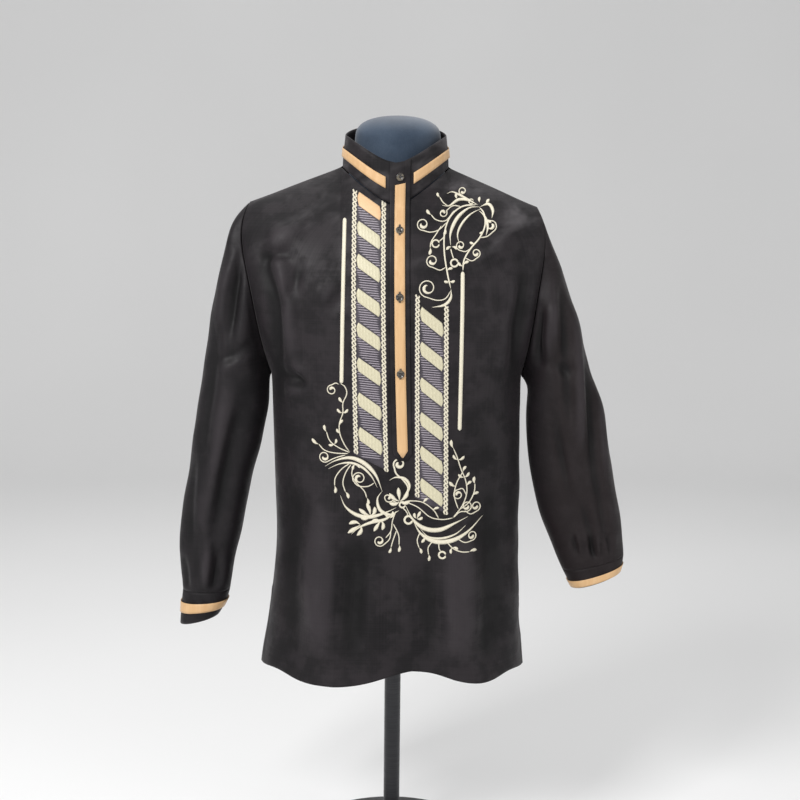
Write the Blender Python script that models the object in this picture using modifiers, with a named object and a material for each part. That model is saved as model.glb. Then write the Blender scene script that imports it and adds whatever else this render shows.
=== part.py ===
"""Barong tagalog shirt worn on a limbless dress form that stands on a round base.

Metres, +Z up, the front of the shirt faces -Y. The origin is the centre of the base's underside.
Left and right are those of someone who looks at the front, so left is -X.
"""

import bisect
import math

import bmesh
import bpy
from mathutils import Vector

# ---- cloth and seams
CLOTH = 0.0012          # wall of the panels and sleeves
DOUBLED = 0.0020        # wall of the collar and cuffs
RIBBON = 0.0010         # wall of what lies on a panel
LAID_ON = 0.0006        # air between a panel and what lies on it
SEAM = 0.0002           # how far each panel stops short of a shared seam
RIDGE_SEAM = 0.0005     # the same where front and back lean together along the shoulder
SLEEVE_SEAM = 0.0010    # how far out the sleeve starts from the armhole
NECK_SEAM = 0.0009      # how far up the collar starts from the neck edge
NECK_TUCK = 0.985       # and how much narrower than the neck edge it is there

HAIR = 0.00001          # points closer than this are one point

# ---- heights of the shirt
ARMPIT_Z = 0.735
TIP_Z = 0.993           # top of the armhole seam
TURN_Z = 0.850          # above this the chest and back curve over to the shoulder seam
SHOULDER_TILT = 0.022   # past the neck, how much lower the right shoulder gets for each metre out

# The body round its height, on sections of that roundness (an exponent: 2 is an ellipse).
# Above the armpit half_width is that of a section which the armhole cuts.
BODY = (
    # z, centre_x, half_width, front_depth, back_depth, roundness
    (0.280, -0.0010, 0.2030, 0.149, 0.131, 2.40),
    (0.310, -0.0010, 0.2000, 0.146, 0.128, 2.40),
    (0.355, -0.0005, 0.1920, 0.141, 0.124, 2.40),
    (0.420, 0.0030, 0.1870, 0.136, 0.118, 2.40),
    (0.482, 0.0050, 0.1835, 0.131, 0.112, 2.40),
    (0.560, 0.0040, 0.1850, 0.128, 0.108, 2.40),
    (0.637, 0.0030, 0.1862, 0.128, 0.107, 2.42),
    (0.700, 0.0015, 0.1868, 0.129, 0.109, 2.50),
    (0.735, 0.0010, 0.1875, 0.130, 0.110, 2.56),
    (0.765, 0.0000, 0.1950, 0.131, 0.112, 2.46),
    (0.800, -0.0010, 0.2060, 0.131, 0.114, 2.40),
    (0.867, -0.0030, 0.2235, 0.129, 0.116, 2.40),
    (0.940, -0.0050, 0.2340, 0.126, 0.117, 2.40),
    (1.000, -0.0060, 0.2340, 0.124, 0.116, 2.40),
)
# How far the armhole seam stands from the body's centre.
ARMHOLE = (
    # z, reach
    (0.735, 0.1875),
    (0.765, 0.1925),
    (0.800, 0.2005),
    (0.867, 0.2100),
    (0.905, 0.2180),
    (0.945, 0.2240),
    (0.970, 0.2210),
    (0.993, 0.2130),
)
# The shoulder seam, out from the neck's middle, and how round the front and the back turn over to it.
SHOULDER = (
    # distance_x, z, front_round, back_round
    (0.000, 1.0700, 1.43, 2.30),
    (0.050, 1.0580, 1.36, 2.10),
    (0.080, 1.0460, 1.38, 1.98),
    (0.110, 1.0340, 1.45, 2.05),
    (0.150, 1.0180, 1.70, 2.10),
    (0.190, 1.0010, 1.90, 2.20),
    (0.214, 0.9920, 2.00, 2.20),
    (0.240, 0.9780, 2.00, 2.20),
)
PRESS_ROUNDS = 5        # how often the creases between close columns are pressed flat
PRESS_REACH = 0.018     # columns further apart than this keep their depths
TOP_PULL_FROM = 0.35    # share of the chest's height above which the panel leans to its true seam
PRESS_TOP = 0.030       # over this height the pressing fades out to the neck and shoulder seams
# The neck seam and the collar's upper edge, at the front, the sides and the back.
NECK_X = -0.003
COLLAR_LOOPS = (
    # half_width, front_y, back_y, front_z, side_z, back_z
    (0.0800, -0.0780, 0.0600, 0.9915, 1.0460, 1.0640),
    (0.0750, -0.0740, 0.0580, 1.0520, 1.0925, 1.1120),
)
NECK_V_ROUND = 0.3      # how far from the middle the neck's V stays round, as a share of its half width

# Lines down the front that the laid-on pieces share: x at the neck and x at the waist.
DRIFT_TOP_Z = 1.0
DRIFT_HEIGHT = 0.4
FRONT_LINES = (
    # name, top_x, low_x
    ("neck_corner_left", -0.0830, -0.0870),
    ("neck_side_left", -0.0818, -0.0855),
    ("line_left_outer", -0.0780, -0.0820),
    ("line_left_inner", -0.0720, -0.0760),
    ("band_left_outer", -0.0648, -0.0578),
    ("band_left_middle", -0.0400, -0.0325),
    ("band_left_inner", -0.0150, -0.0070),
    ("placket_left", -0.0105, -0.0010),
    ("ribbon_left", -0.0035, 0.0055),
    ("ribbon_right", 0.0115, 0.0205),
    ("placket_right", 0.0185, 0.0265),
    ("band_right_inner", 0.0260, 0.0293),
    ("band_right_middle", 0.0480, 0.0518),
    ("band_right_far", 0.0650, 0.0680),
    ("band_right_outer", 0.0750, 0.0783),
    ("neck_corner_right", 0.0770, 0.0830),
    ("line_right_inner", 0.0915, 0.0893),
    ("line_right_outer", 0.0975, 0.0953),
)
LINE_NAMES = [name for name, _, _ in FRONT_LINES]
SIDE_STEPS = 6          # columns from the outermost line to the side

# ---- hem
HEM_Z = 0.296
SLIT_Z = 0.386          # top of the side slits
FRONT_SLIT = math.radians(9)
BACK_SLIT = math.radians(6)
FOLD_TOP_Z = 0.560      # the folds fade out at this height
FRONT_HEM = (
    # centre_x, spread, lift, out: how much a fold raises the hem and pushes it out
    (-0.105, 0.042, 0.000, 0.009),
    (0.035, 0.060, 0.022, -0.011),
    (0.125, 0.034, 0.000, 0.010),
    (-0.172, 0.026, 0.012, 0.000),
    (0.174, 0.024, 0.011, 0.000),
)
BACK_HEM = (
    (-0.120, 0.036, 0.000, 0.008),
    (-0.030, 0.040, 0.008, -0.008),
    (0.060, 0.038, 0.000, 0.009),
    (0.140, 0.028, 0.006, -0.005),
)
LOWER_ROWS = (0.0, 0.07, 0.14, 0.21, 0.31, 0.43, 0.56, 0.70, 0.85)   # hem to armpit, as fractions
UPPER_STEPS = 10        # rows from the armpit to the shoulder

# ---- sleeves: each row is one ring, from its underside to its top
SLEEVE_LEFT = (
    # inner_x, inner_z, outer_x, outer_z, middle_y, half_depth
    (-0.1890, 0.7320, -0.2405, 0.9765, 0.000, 0.0600),
    (-0.1892, 0.7255, -0.2530, 0.9370, 0.000, 0.0620),
    (-0.1895, 0.7160, -0.2640, 0.8930, -0.001, 0.0620),
    (-0.1898, 0.7020, -0.2730, 0.8500, -0.002, 0.0610),
    (-0.1905, 0.6830, -0.2835, 0.7920, -0.004, 0.0590),
    (-0.1990, 0.6430, -0.2940, 0.7230, -0.006, 0.0560),
    (-0.2150, 0.5900, -0.3070, 0.6340, -0.009, 0.0530),
    (-0.2253, 0.5263, -0.3200, 0.5500, -0.012, 0.0500),
    (-0.2370, 0.4780, -0.3285, 0.4840, -0.015, 0.0460),
    (-0.2450, 0.4380, -0.3265, 0.4430, -0.017, 0.0420),
    (-0.2490, 0.4095, -0.3215, 0.4100, -0.018, 0.0370),
)
SLEEVE_RIGHT = (
    (0.1920, 0.7325, 0.2190, 0.9650, 0.000, 0.0600),
    (0.1950, 0.7290, 0.2320, 0.9340, 0.000, 0.0620),
    (0.1990, 0.7220, 0.2500, 0.8880, -0.001, 0.0620),
    (0.2005, 0.7120, 0.2660, 0.8390, -0.002, 0.0610),
    (0.1990, 0.6960, 0.2830, 0.7870, -0.004, 0.0590),
    (0.1965, 0.6650, 0.3000, 0.7340, -0.006, 0.0560),
    (0.2010, 0.6200, 0.3160, 0.6660, -0.009, 0.0530),
    (0.2100, 0.5680, 0.3300, 0.6000, -0.012, 0.0500),
    (0.2240, 0.5180, 0.3415, 0.5350, -0.015, 0.0460),
    (0.2410, 0.4760, 0.3485, 0.4880, -0.017, 0.0420),
    (0.2560, 0.4450, 0.3500, 0.4700, -0.018, 0.0390),
)
CUFF_LEFT = (
    (-0.2490, 0.4092, -0.3215, 0.4097, -0.018, 0.0370),
    (-0.2520, 0.3950, -0.3238, 0.3905, -0.018, 0.0360),
    (-0.2580, 0.3830, -0.3250, 0.3740, -0.018, 0.0355),
    (-0.2650, 0.3710, -0.3262, 0.3560, -0.018, 0.0350),
)
CUFF_RIGHT = (
    (0.2561, 0.4447, 0.3500, 0.4697, -0.018, 0.0390),
    (0.2645, 0.4285, 0.3487, 0.4570, -0.018, 0.0385),
    (0.2700, 0.4185, 0.3453, 0.4460, -0.018, 0.0382),
    (0.2705, 0.4175, 0.3448, 0.4448, -0.018, 0.0380),
)
SLEEVE_ROUND = 2.2
ARMHOLE_HALF_DEPTH = 0.056
ARMHOLE_RINGS = 6       # rings over which the armhole's own outline fades out
CUFF_RIBBONS = {"left": (1, 2), "right": (1, 2)}   # first and last cuff ring under the ribbon

# ---- what lies on the front: the heights between which it runs along each line
PLACKET_END_Z = 0.628
RIBBON_END_Z = 0.633
TAB_FOLD_LEVEL = 0.30       # fractions of the collar's height where the placket's tab lies on it
TAB_TOP_LEVEL = 0.985
ABOVE_ALL = 2.0             # a height over the whole shirt
RIBBON_ON_COLLAR = 0.46     # fraction of the collar's height where the placket's ribbon stops
STRIPS = (
    # node, lines, low_z of each, high_z of each
    ("band_left", ("band_left_outer", "band_left_middle", "band_left_inner"),
     (0.637, 0.624, 0.612), (1.0080, 0.9945, 0.9890)),
    ("band_right", ("band_right_inner", "band_right_middle", "band_right_far", "band_right_outer"),
     (0.575, 0.563, 0.554, 0.549), (0.866, 0.860, 0.855, 0.852)),
    ("line_left", ("line_left_outer", "line_left_inner"), (0.738, 0.738), (0.973, 0.973)),
    ("line_right", ("line_right_inner", "line_right_outer"), (0.671, 0.671), (0.899, 0.899)),
)
COLLAR_STEPS = 36
COLLAR_LEVELS = (0.0, 0.34, 0.61, 1.0)
COLLAR_RIBBON_LEVELS = (1, 2)
COLLAR_RIBBON_ENDS = (-0.0165, 0.0228)   # x where the collar's ribbon stops beside the tab

BUTTON_RADIUS = 0.0057
BUTTON_THICK = 0.0024
BUTTON_HEIGHTS = (0.956, 0.8625, 0.754)
COLLAR_BUTTON_LEVEL = 0.64

# ---- dress form
FORM = (
    # z, half_width, front_depth, back_depth, roundness
    (0.3650, 0.1600, 0.108, 0.096, 2.1),
    (0.3690, 0.1660, 0.113, 0.101, 2.1),
    (0.3800, 0.1695, 0.116, 0.104, 2.1),
    (0.4500, 0.1690, 0.115, 0.102, 2.1),
    (0.5300, 0.1600, 0.105, 0.092, 2.1),
    (0.6000, 0.1530, 0.099, 0.086, 2.1),
    (0.6800, 0.1570, 0.107, 0.090, 2.1),
    (0.7600, 0.1660, 0.116, 0.096, 2.1),
    (0.8400, 0.1770, 0.116, 0.100, 2.1),
    (0.9000, 0.1860, 0.105, 0.098, 2.1),
    (0.9400, 0.1910, 0.090, 0.090, 2.1),
    (0.9650, 0.1880, 0.077, 0.079, 2.0),
    (0.9840, 0.1760, 0.065, 0.067, 2.0),
    (0.9980, 0.1550, 0.056, 0.058, 1.9),
    (1.0100, 0.1250, 0.052, 0.053, 1.7),
    (1.0220, 0.0940, 0.050, 0.051, 1.6),
    (1.0340, 0.0735, 0.049, 0.050, 1.8),
    (1.0460, 0.0665, 0.049, 0.050, 2.0),
    (1.0600, 0.0650, 0.049, 0.050, 2.0),
    (1.0900, 0.0640, 0.049, 0.050, 2.0),
)
FORM_STEPS = 32
NECK_CAP_TILT = math.radians(13)
NECK_TILT_FROM = 1.0     # height where the neck starts to tilt towards its cap
NECK_CAP_STEP = 15       # degrees
NECK_CAP_GAP = 0.0005
NECK_CAP_RIM = 0.0030
NECK_CAP_DOME = 0.0270
NECK_CAP_FOOT = 0.985
POLE_RADIUS = 0.0125
POLE_GAP = 0.0004
BASE_RADIUS = 0.145
BASE_THICK = 0.010
BASE_RIM = 0.004


# ---------------------------------------------------------------- reading the tables

def smooth_row(table, key):
    """The table's columns at key, on a smooth curve through its rows."""
    keys = [row[0] for row in table]
    key = min(max(key, keys[0]), keys[-1])
    low = min(max(bisect.bisect_right(keys, key) - 1, 0), len(keys) - 2)
    span = keys[low + 1] - keys[low]
    u = (key - keys[low]) / span

    def slope(row, column):
        before = max(row - 1, 0)
        after = min(row + 1, len(keys) - 1)
        return (table[after][column] - table[before][column]) / (keys[after] - keys[before])

    values = []
    for column in range(1, len(table[0])):
        start, end = table[low][column], table[low + 1][column]
        rise = end - start
        leave, arrive = slope(low, column) * span, slope(low + 1, column) * span
        bend = 3 * rise - 2 * leave - arrive + u * (leave + arrive - 2 * rise)
        values.append(start + u * (leave + u * bend))
    return values


def ease(value):
    """0 to 1 with a soft start and end."""
    value = min(max(value, 0.0), 1.0)
    return value * value * (3 - 2 * value)


# ---------------------------------------------------------------- the body's form

def shoulder_form(x, side):
    """Where the panel would reach the top at x, and how round it turns to it."""
    from_neck = x - NECK_X
    seam_z, front_round, back_round = smooth_row(SHOULDER, abs(from_neck))
    turn = front_round if side < 0 else back_round
    past_neck = abs(from_neck) - COLLAR_LOOPS[0][0]
    if past_neck > HAIR:
        return seam_z - SHOULDER_TILT * math.copysign(past_neck, from_neck), turn
    seam = loop_point(neck_angle(x, 0.0, side), 0.0)
    centre, half_width, front, back, roundness = smooth_row(BODY, seam.z)
    across = math.sin(section_angle(x, centre, half_width, roundness)) ** (2 / roundness)
    reached = abs(seam.y) / (across * (front if side < 0 else back))
    return TURN_Z + (seam.z - TURN_Z) / (1 - reached ** turn) ** (1 / turn), turn


def section_angle(x, centre, half_width, roundness):
    """Where x lies on the rounded section: 0 at the side, a quarter turn at the middle."""
    return math.acos(min(abs(x - centre) / half_width, 1.0) ** (roundness / 2))


def body_y(x, z, half_width, side):
    """Depth of the front (side -1) or the back (side 1) at x and z."""
    centre, _, front, back, roundness = smooth_row(BODY, z)
    depth = front if side < 0 else back
    across = math.sin(section_angle(x, centre, half_width, roundness)) ** (2 / roundness)
    top, turn = shoulder_form(x, side)
    over = min(max((z - TURN_Z) / (top - TURN_Z), 0.0), 1.0)
    return side * depth * across * (1 - over ** turn) ** (1 / turn)


def hem_folds(x, side):
    """How far the hem is raised and how far it stands out at x."""
    lift = out = 0.0
    for centre_x, spread, fold_lift, fold_out in FRONT_HEM if side < 0 else BACK_HEM:
        near = math.exp(-((x - centre_x) / spread) ** 2)
        lift += fold_lift * near
        out += fold_out * near
    return lift, out


def line_x(name, z):
    """x of a line down the front."""
    top_x, low_x = next(row[1:] for row in FRONT_LINES if row[0] == name)
    drift = min(max((DRIFT_TOP_Z - z) / DRIFT_HEIGHT, 0.0), 1.0) ** 2
    return top_x + (low_x - top_x) * drift


def column_places(z, side):
    """x of each column of a panel where its side seam is at z."""
    centre, half_width, _, _, roundness = smooth_row(BODY, z)
    reach = smooth_row(ARMHOLE, z)[0] if z > ARMPIT_Z else half_width
    lines = [line_x(name, z if side < 0 else DRIFT_TOP_Z) for name in LINE_NAMES]
    end = section_angle(centre + reach, centre, half_width, roundness)
    slit = FRONT_SLIT if side < 0 else BACK_SLIT
    end += slit * max((SLIT_Z - z) / (SLIT_Z - HEM_Z), 0.0)
    places = []
    for sign, inner in ((-1, lines[0]), (1, lines[-1])):
        start = section_angle(inner, centre, half_width, roundness)
        outer = []
        for step in range(1, SIDE_STEPS + 1):
            angle = start + (end - start) * step / SIDE_STEPS
            outer.append(centre + sign * half_width * math.cos(angle) ** (2 / roundness))
        places.append(outer)
    return places[0][::-1] + lines + places[1], half_width


def loop_point(angle, level):
    """On the collar: angle 0 is the front and a quarter turn is +X, level 0 the neck seam and 1 the top."""
    half_width, front_y, back_y, front_z, side_z, back_z = (
        low + (high - low) * level for low, high in zip(*COLLAR_LOOPS))
    forward = math.cos(angle)
    y = front_y * forward if forward > 0 else -back_y * forward
    if forward > 0:
        rise = math.hypot(math.sin(angle), NECK_V_ROUND) - NECK_V_ROUND
        rise /= math.hypot(1, NECK_V_ROUND) - NECK_V_ROUND
        z = front_z + (side_z - front_z) * rise
    else:
        z = side_z - (back_z - side_z) * forward
    return Vector((NECK_X + half_width * math.sin(angle), y, z))


def neck_angle(x, level, side):
    half_width = COLLAR_LOOPS[0][0] + (COLLAR_LOOPS[1][0] - COLLAR_LOOPS[0][0]) * level
    angle = math.asin(min(max((x - NECK_X) / half_width, -1.0), 1.0))
    return angle if side < 0 else math.pi - angle


def pressed(rows):
    """The upper rows with the creases between close columns smoothed out."""
    for _ in range(PRESS_ROUNDS):
        for row in rows[len(LOWER_ROWS):-1]:
            depths = [point.y for point in row]
            for j in range(1, len(row) - 1):
                before, after = row[j].x - row[j - 1].x, row[j + 1].x - row[j].x
                level = (depths[j - 1] * after + depths[j + 1] * before) / (before + after)
                far = math.hypot(before + after, depths[j + 1] - depths[j - 1])
                share = math.exp(-(far / PRESS_REACH) ** 2)
                share *= min((rows[-1][j].z - row[j].z) / PRESS_TOP, 1.0)
                row[j].y += (level - depths[j]) * share
    return rows


def panel_rows(side):
    """The panel's points from hem to neck, each row from left to right."""
    tops = []
    for x in column_places(TIP_Z, side)[0]:
        if abs(x - NECK_X) <= COLLAR_LOOPS[0][0] + HAIR:
            tops.append(loop_point(neck_angle(x, 0.0, side), 0.0))
        else:
            tops.append(Vector((x, 0.0, shoulder_form(x, side)[0])))
    rows = []
    for fraction in LOWER_ROWS:
        row = []
        places, half_width = column_places(HEM_Z + (ARMPIT_Z - HEM_Z) * fraction, side)
        for x in places:
            lift, out = hem_folds(x, side)
            z = HEM_Z + lift + (ARMPIT_Z - HEM_Z - lift) * fraction
            fade = ease((FOLD_TOP_Z - z) / (FOLD_TOP_Z - HEM_Z))
            row.append(Vector((x, body_y(x, z, half_width, side) + side * out * fade, z)))
        rows.append(row)
    for step in range(UPPER_STEPS + 1):
        rise = (1 - math.cos(math.pi * step / UPPER_STEPS)) / 2
        seam_z = ARMPIT_Z + (TIP_Z - ARMPIT_Z) * rise
        places, half_width = column_places(seam_z, side)
        row = []
        for x, top in zip(places, tops):
            z = ARMPIT_Z + (top.z - ARMPIT_Z) * rise
            point = Vector((x, body_y(x, z, half_width, side), z))
            formed_top = Vector((top.x, body_y(top.x, top.z, half_width, side), top.z))
            row.append(point + (top - formed_top) * ease((rise - TOP_PULL_FROM) / (1 - TOP_PULL_FROM)))
        rows.append(row)
    rows[-1] = [top.copy() for top in tops]
    return pressed(rows)


# ---------------------------------------------------------------- meshes

def along_column(rows, i, j):
    """From the nearest different point below to the nearest one above, in column j."""
    below, above = max(i - 1, 0), min(i + 1, len(rows) - 1)
    while below > 0 and (rows[i][j] - rows[below][j]).length < HAIR:
        below -= 1
    while above < len(rows) - 1 and (rows[above][j] - rows[i][j]).length < HAIR:
        above += 1
    return rows[above][j] - rows[below][j]


def normals_of(rows, closed=False):
    """Unit normals at the points of a grid whose rows run left to right and bottom to top."""
    count = len(rows[0])
    normals = []
    for i, row in enumerate(rows):
        line = []
        for j in range(count):
            if closed:
                across = row[(j + 1) % (count - 1)] - row[(j - 1) % (count - 1)]
            else:
                across = row[min(j + 1, count - 1)] - row[max(j - 1, 0)]
            line.append(across.cross(along_column(rows, i, j)).normalized())
        normals.append(line)
    return normals


def moved_out(rows, distance, closed=False):
    normals = normals_of(rows, closed)
    return [[point + normal * distance for point, normal in zip(row, line)]
            for row, line in zip(rows, normals)]


def material_of(name, colour, roughness, metallic=0.0):
    material = bpy.data.materials.get(name)
    if material is None:
        material = bpy.data.materials.new(name)
        material.use_nodes = True
        shader = material.node_tree.nodes["Principled BSDF"]
        shader.inputs["Base Color"].default_value = (*colour, 1.0)
        shader.inputs["Roughness"].default_value = roughness
        shader.inputs["Metallic"].default_value = metallic
    return material


def black_cloth():
    return material_of("black organza", (0.012, 0.010, 0.012), 0.55)


def gold_ribbon():
    return material_of("peach gold ribbon", (0.88, 0.58, 0.28), 0.55)


def cream_thread():
    return material_of("cream thread", (0.80, 0.74, 0.58), 0.6)


def button_resin():
    return material_of("dark button", (0.035, 0.030, 0.028), 0.3)


def form_jersey():
    return material_of("slate jersey", (0.030, 0.045, 0.070), 0.8)


def stand_metal():
    return material_of("dark steel", (0.020, 0.020, 0.022), 0.35, 0.9)


def add_object(name, mesh, material):
    piece = bpy.data.objects.new(name, mesh)
    mesh.materials.append(material)
    PART.objects.link(piece)
    return piece


def add_wall(name, rows, thickness, material, outward=False):
    """A wall on a grid of points: the grid is its outer face, or its inner face when outward."""
    bm = bmesh.new()
    made = bmesh.ops.create_grid(bm, x_segments=len(rows[0]) - 1, y_segments=len(rows) - 1, size=1.0)
    for vertex, point in zip(made["verts"], (point for row in rows for point in row)):
        vertex.co = point
    bmesh.ops.remove_doubles(bm, verts=bm.verts, dist=HAIR)
    bmesh.ops.dissolve_degenerate(bm, edges=bm.edges, dist=HAIR)
    mesh = bpy.data.meshes.new(name)
    bm.to_mesh(mesh)
    bm.free()
    mesh.shade_smooth()
    piece = add_object(name, mesh, material)
    wall = piece.modifiers.new("wall", "SOLIDIFY")
    wall.thickness = thickness
    wall.offset = 1.0 if outward else -1.0
    wall.use_even_offset = outward
    return piece


def add_turned(name, profile, location, tilt, material, steps=32):
    """A turned solid: profile holds radius and height from the top of the axis to the bottom."""
    bm = bmesh.new()
    points = [bm.verts.new((radius, 0.0, height)) for radius, height in profile]
    for start, end in zip(points, points[1:]):
        bm.edges.new((start, end))
    mesh = bpy.data.meshes.new(name)
    bm.to_mesh(mesh)
    bm.free()
    piece = add_object(name, mesh, material)
    screw = piece.modifiers.new("turn", "SCREW")
    screw.steps = screw.render_steps = steps
    screw.use_merge_vertices = True
    screw.merge_threshold = 1e-5
    piece.location = location
    piece.rotation_euler = tilt
    return piece


# ---------------------------------------------------------------- pieces of the shirt

def seam_allowed(rows):
    """The panel drawn back a little from its side, armhole, shoulder and neck seams."""
    drawn = [[point.copy() for point in row] for row in rows]
    for old, new in zip(rows, drawn):
        new[0] += (old[1] - old[0]).normalized() * SEAM
        new[-1] += (old[-2] - old[-1]).normalized() * SEAM
    for j, point in enumerate(drawn[-1]):
        point += (rows[-2][j] - rows[-1][j]).normalized() * RIDGE_SEAM
    return drawn


def add_body(front_rows, back_rows):
    add_wall("front", seam_allowed(front_rows), CLOTH, black_cloth())
    add_wall("back", [row[::-1] for row in seam_allowed(back_rows)], CLOTH, black_cloth())


def ring_points(ring):
    """A sleeve ring from its top, down the front to its underside and up the back."""
    inner_x, inner_z, outer_x, outer_z, middle_y, half_depth = ring
    inner, outer = Vector((inner_x, middle_y, inner_z)), Vector((outer_x, middle_y, outer_z))
    middle, reach = (inner + outer) / 2, (outer - inner) / 2
    points = []
    for step in range(2 * UPPER_STEPS + 1):
        angle = math.pi * step / UPPER_STEPS
        along = math.copysign(abs(math.cos(angle)) ** (2 / SLEEVE_ROUND), math.cos(angle))
        deep = math.copysign(abs(math.sin(angle)) ** (2 / SLEEVE_ROUND), math.sin(angle))
        points.append(middle + reach * along + Vector((0.0, -half_depth * deep, 0.0)))
    return points


def armhole_points(front_rows, back_rows, column, sign):
    down_front = [row[column] for row in front_rows[:-UPPER_STEPS - 2:-1]]
    up_back = [row[column] for row in back_rows[-UPPER_STEPS:]]
    return [point + Vector((sign * SLEEVE_SEAM, 0.0, 0.0)) for point in down_front + up_back]


def sleeve_rings(armhole, sleeve):
    """The armhole and then the sleeve's rings, which start with the armhole's outline."""
    top, bottom = armhole[0], armhole[UPPER_STEPS]
    plain = ring_points((bottom.x, bottom.z, top.x, top.z, 0.0, ARMHOLE_HALF_DEPTH))
    outline = [point - round_point for point, round_point in zip(armhole, plain)]
    rings = [armhole]
    for number, ring in enumerate(sleeve, start=1):
        share = ease(1 - number / ARMHOLE_RINGS)
        rings.append([point + bulge * share for point, bulge in zip(ring_points(ring), outline)])
    return rings


def tube_rows(rings, sign):
    """Rows from the lower end to the upper end, ordered so that the faces point out."""
    return [row[::-1] if sign > 0 else row for row in rings[::-1]]


def add_sleeves(front_rows, back_rows):
    for side, sign, column, sleeve, cuff in (
            ("left", -1, 0, SLEEVE_LEFT, CUFF_LEFT), ("right", 1, -1, SLEEVE_RIGHT, CUFF_RIGHT)):
        armhole = armhole_points(front_rows, back_rows, column, sign)
        rings = sleeve_rings(armhole, sleeve)
        add_wall(f"sleeve_{side}", tube_rows(rings, sign), CLOTH, black_cloth())
        cuff_rows = tube_rows([ring_points(ring) for ring in cuff], sign)
        add_wall(f"cuff_{side}", cuff_rows, DOUBLED, black_cloth())
        first, last = CUFF_RIBBONS[side]
        under_ribbon = cuff_rows[len(cuff) - 1 - last:len(cuff) - first]
        laid = moved_out(under_ribbon, LAID_ON, closed=True)
        add_wall(f"cuff_trim_{side}", laid, RIBBON, gold_ribbon(), outward=True)


def collar_rows(first_x, last_x, levels):
    """Rows of the collar from the tab's left edge all round to its right edge, seen from outside."""
    rows = []
    for level in levels:
        start = neck_angle(last_x, level, -1)
        end = 2 * math.pi + neck_angle(first_x, level, -1)
        rows.append([loop_point(start + (end - start) * step / COLLAR_STEPS, level)
                     for step in range(COLLAR_STEPS + 1)])
    return rows


def add_collar():
    left, right = (line_x(name, DRIFT_TOP_Z) for name in ("ribbon_left", "ribbon_right"))
    rows = collar_rows(left, right, COLLAR_LEVELS)
    rows[0] = [Vector((NECK_X + (point.x - NECK_X) * NECK_TUCK, point.y, point.z + NECK_SEAM))
               for point in rows[0]]
    add_wall("collar", rows, DOUBLED, black_cloth())
    levels = [COLLAR_LEVELS[index] for index in COLLAR_RIBBON_LEVELS]
    ribbon = collar_rows(*COLLAR_RIBBON_ENDS, levels)
    add_wall("collar_trim", moved_out(ribbon, 2 * LAID_ON), RIBBON, gold_ribbon(), outward=True)


def column_point(column, z):
    """The point at height z on a column of the panel."""
    z = min(max(z, column[0].z), column[-1].z)
    for low, high in zip(column, column[1:]):
        if z <= high.z:
            return low.lerp(high, (z - low.z) / (high.z - low.z))
    return column[-1].copy()


def strip_rows(front_rows, lines, lows, highs):
    """The front's own points along the lines, held between the low and high heights."""
    places = [SIDE_STEPS + LINE_NAMES.index(name) for name in lines]
    rows = []
    for row in front_rows:
        strip = []
        for place, low, high in zip(places, lows, highs):
            column = [other[place] for other in front_rows]
            strip.append(column_point(column, min(max(row[place].z, low), high)))
        rows.append(strip)
    return rows


def placket_rows(front_rows, lines, end_z, top_level):
    """Up the front and on over the collar to top_level."""
    rows = strip_rows(front_rows, lines, [end_z] * len(lines), [ABOVE_ALL] * len(lines))
    places = [line_x(name, DRIFT_TOP_Z) for name in lines]
    for level in (TAB_FOLD_LEVEL, top_level):
        rows.append([loop_point(neck_angle(x, level, -1), level) for x in places])
    return rows


def add_laid_on(front_rows):
    for name, lines, lows, highs in STRIPS:
        rows = strip_rows(front_rows, lines, lows, highs)
        add_wall(name, moved_strip(rows, LAID_ON), RIBBON, cream_thread(), outward=True)
    lines = ("placket_left", "ribbon_left", "ribbon_right", "placket_right")
    placket = placket_rows(front_rows, lines, PLACKET_END_Z, TAB_TOP_LEVEL)
    add_wall("placket", moved_strip(placket, LAID_ON), RIBBON, black_cloth(), outward=True)
    ribbon = placket_rows(front_rows, lines[1:3], RIBBON_END_Z, RIBBON_ON_COLLAR)
    raised = LAID_ON + RIBBON + LAID_ON
    add_wall("placket_trim", moved_strip(ribbon, raised), RIBBON, gold_ribbon(), outward=True)
    return moved_strip(ribbon, raised + RIBBON + LAID_ON)


def moved_strip(rows, distance):
    """A strip moved out from its panel. Rows that its ends hold at one place are first made one."""
    kept = [rows[0]]
    for row in rows[1:]:
        if max((point - last).length for point, last in zip(row, kept[-1])) > HAIR:
            kept.append(row)
    return moved_out(kept, distance)


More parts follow.
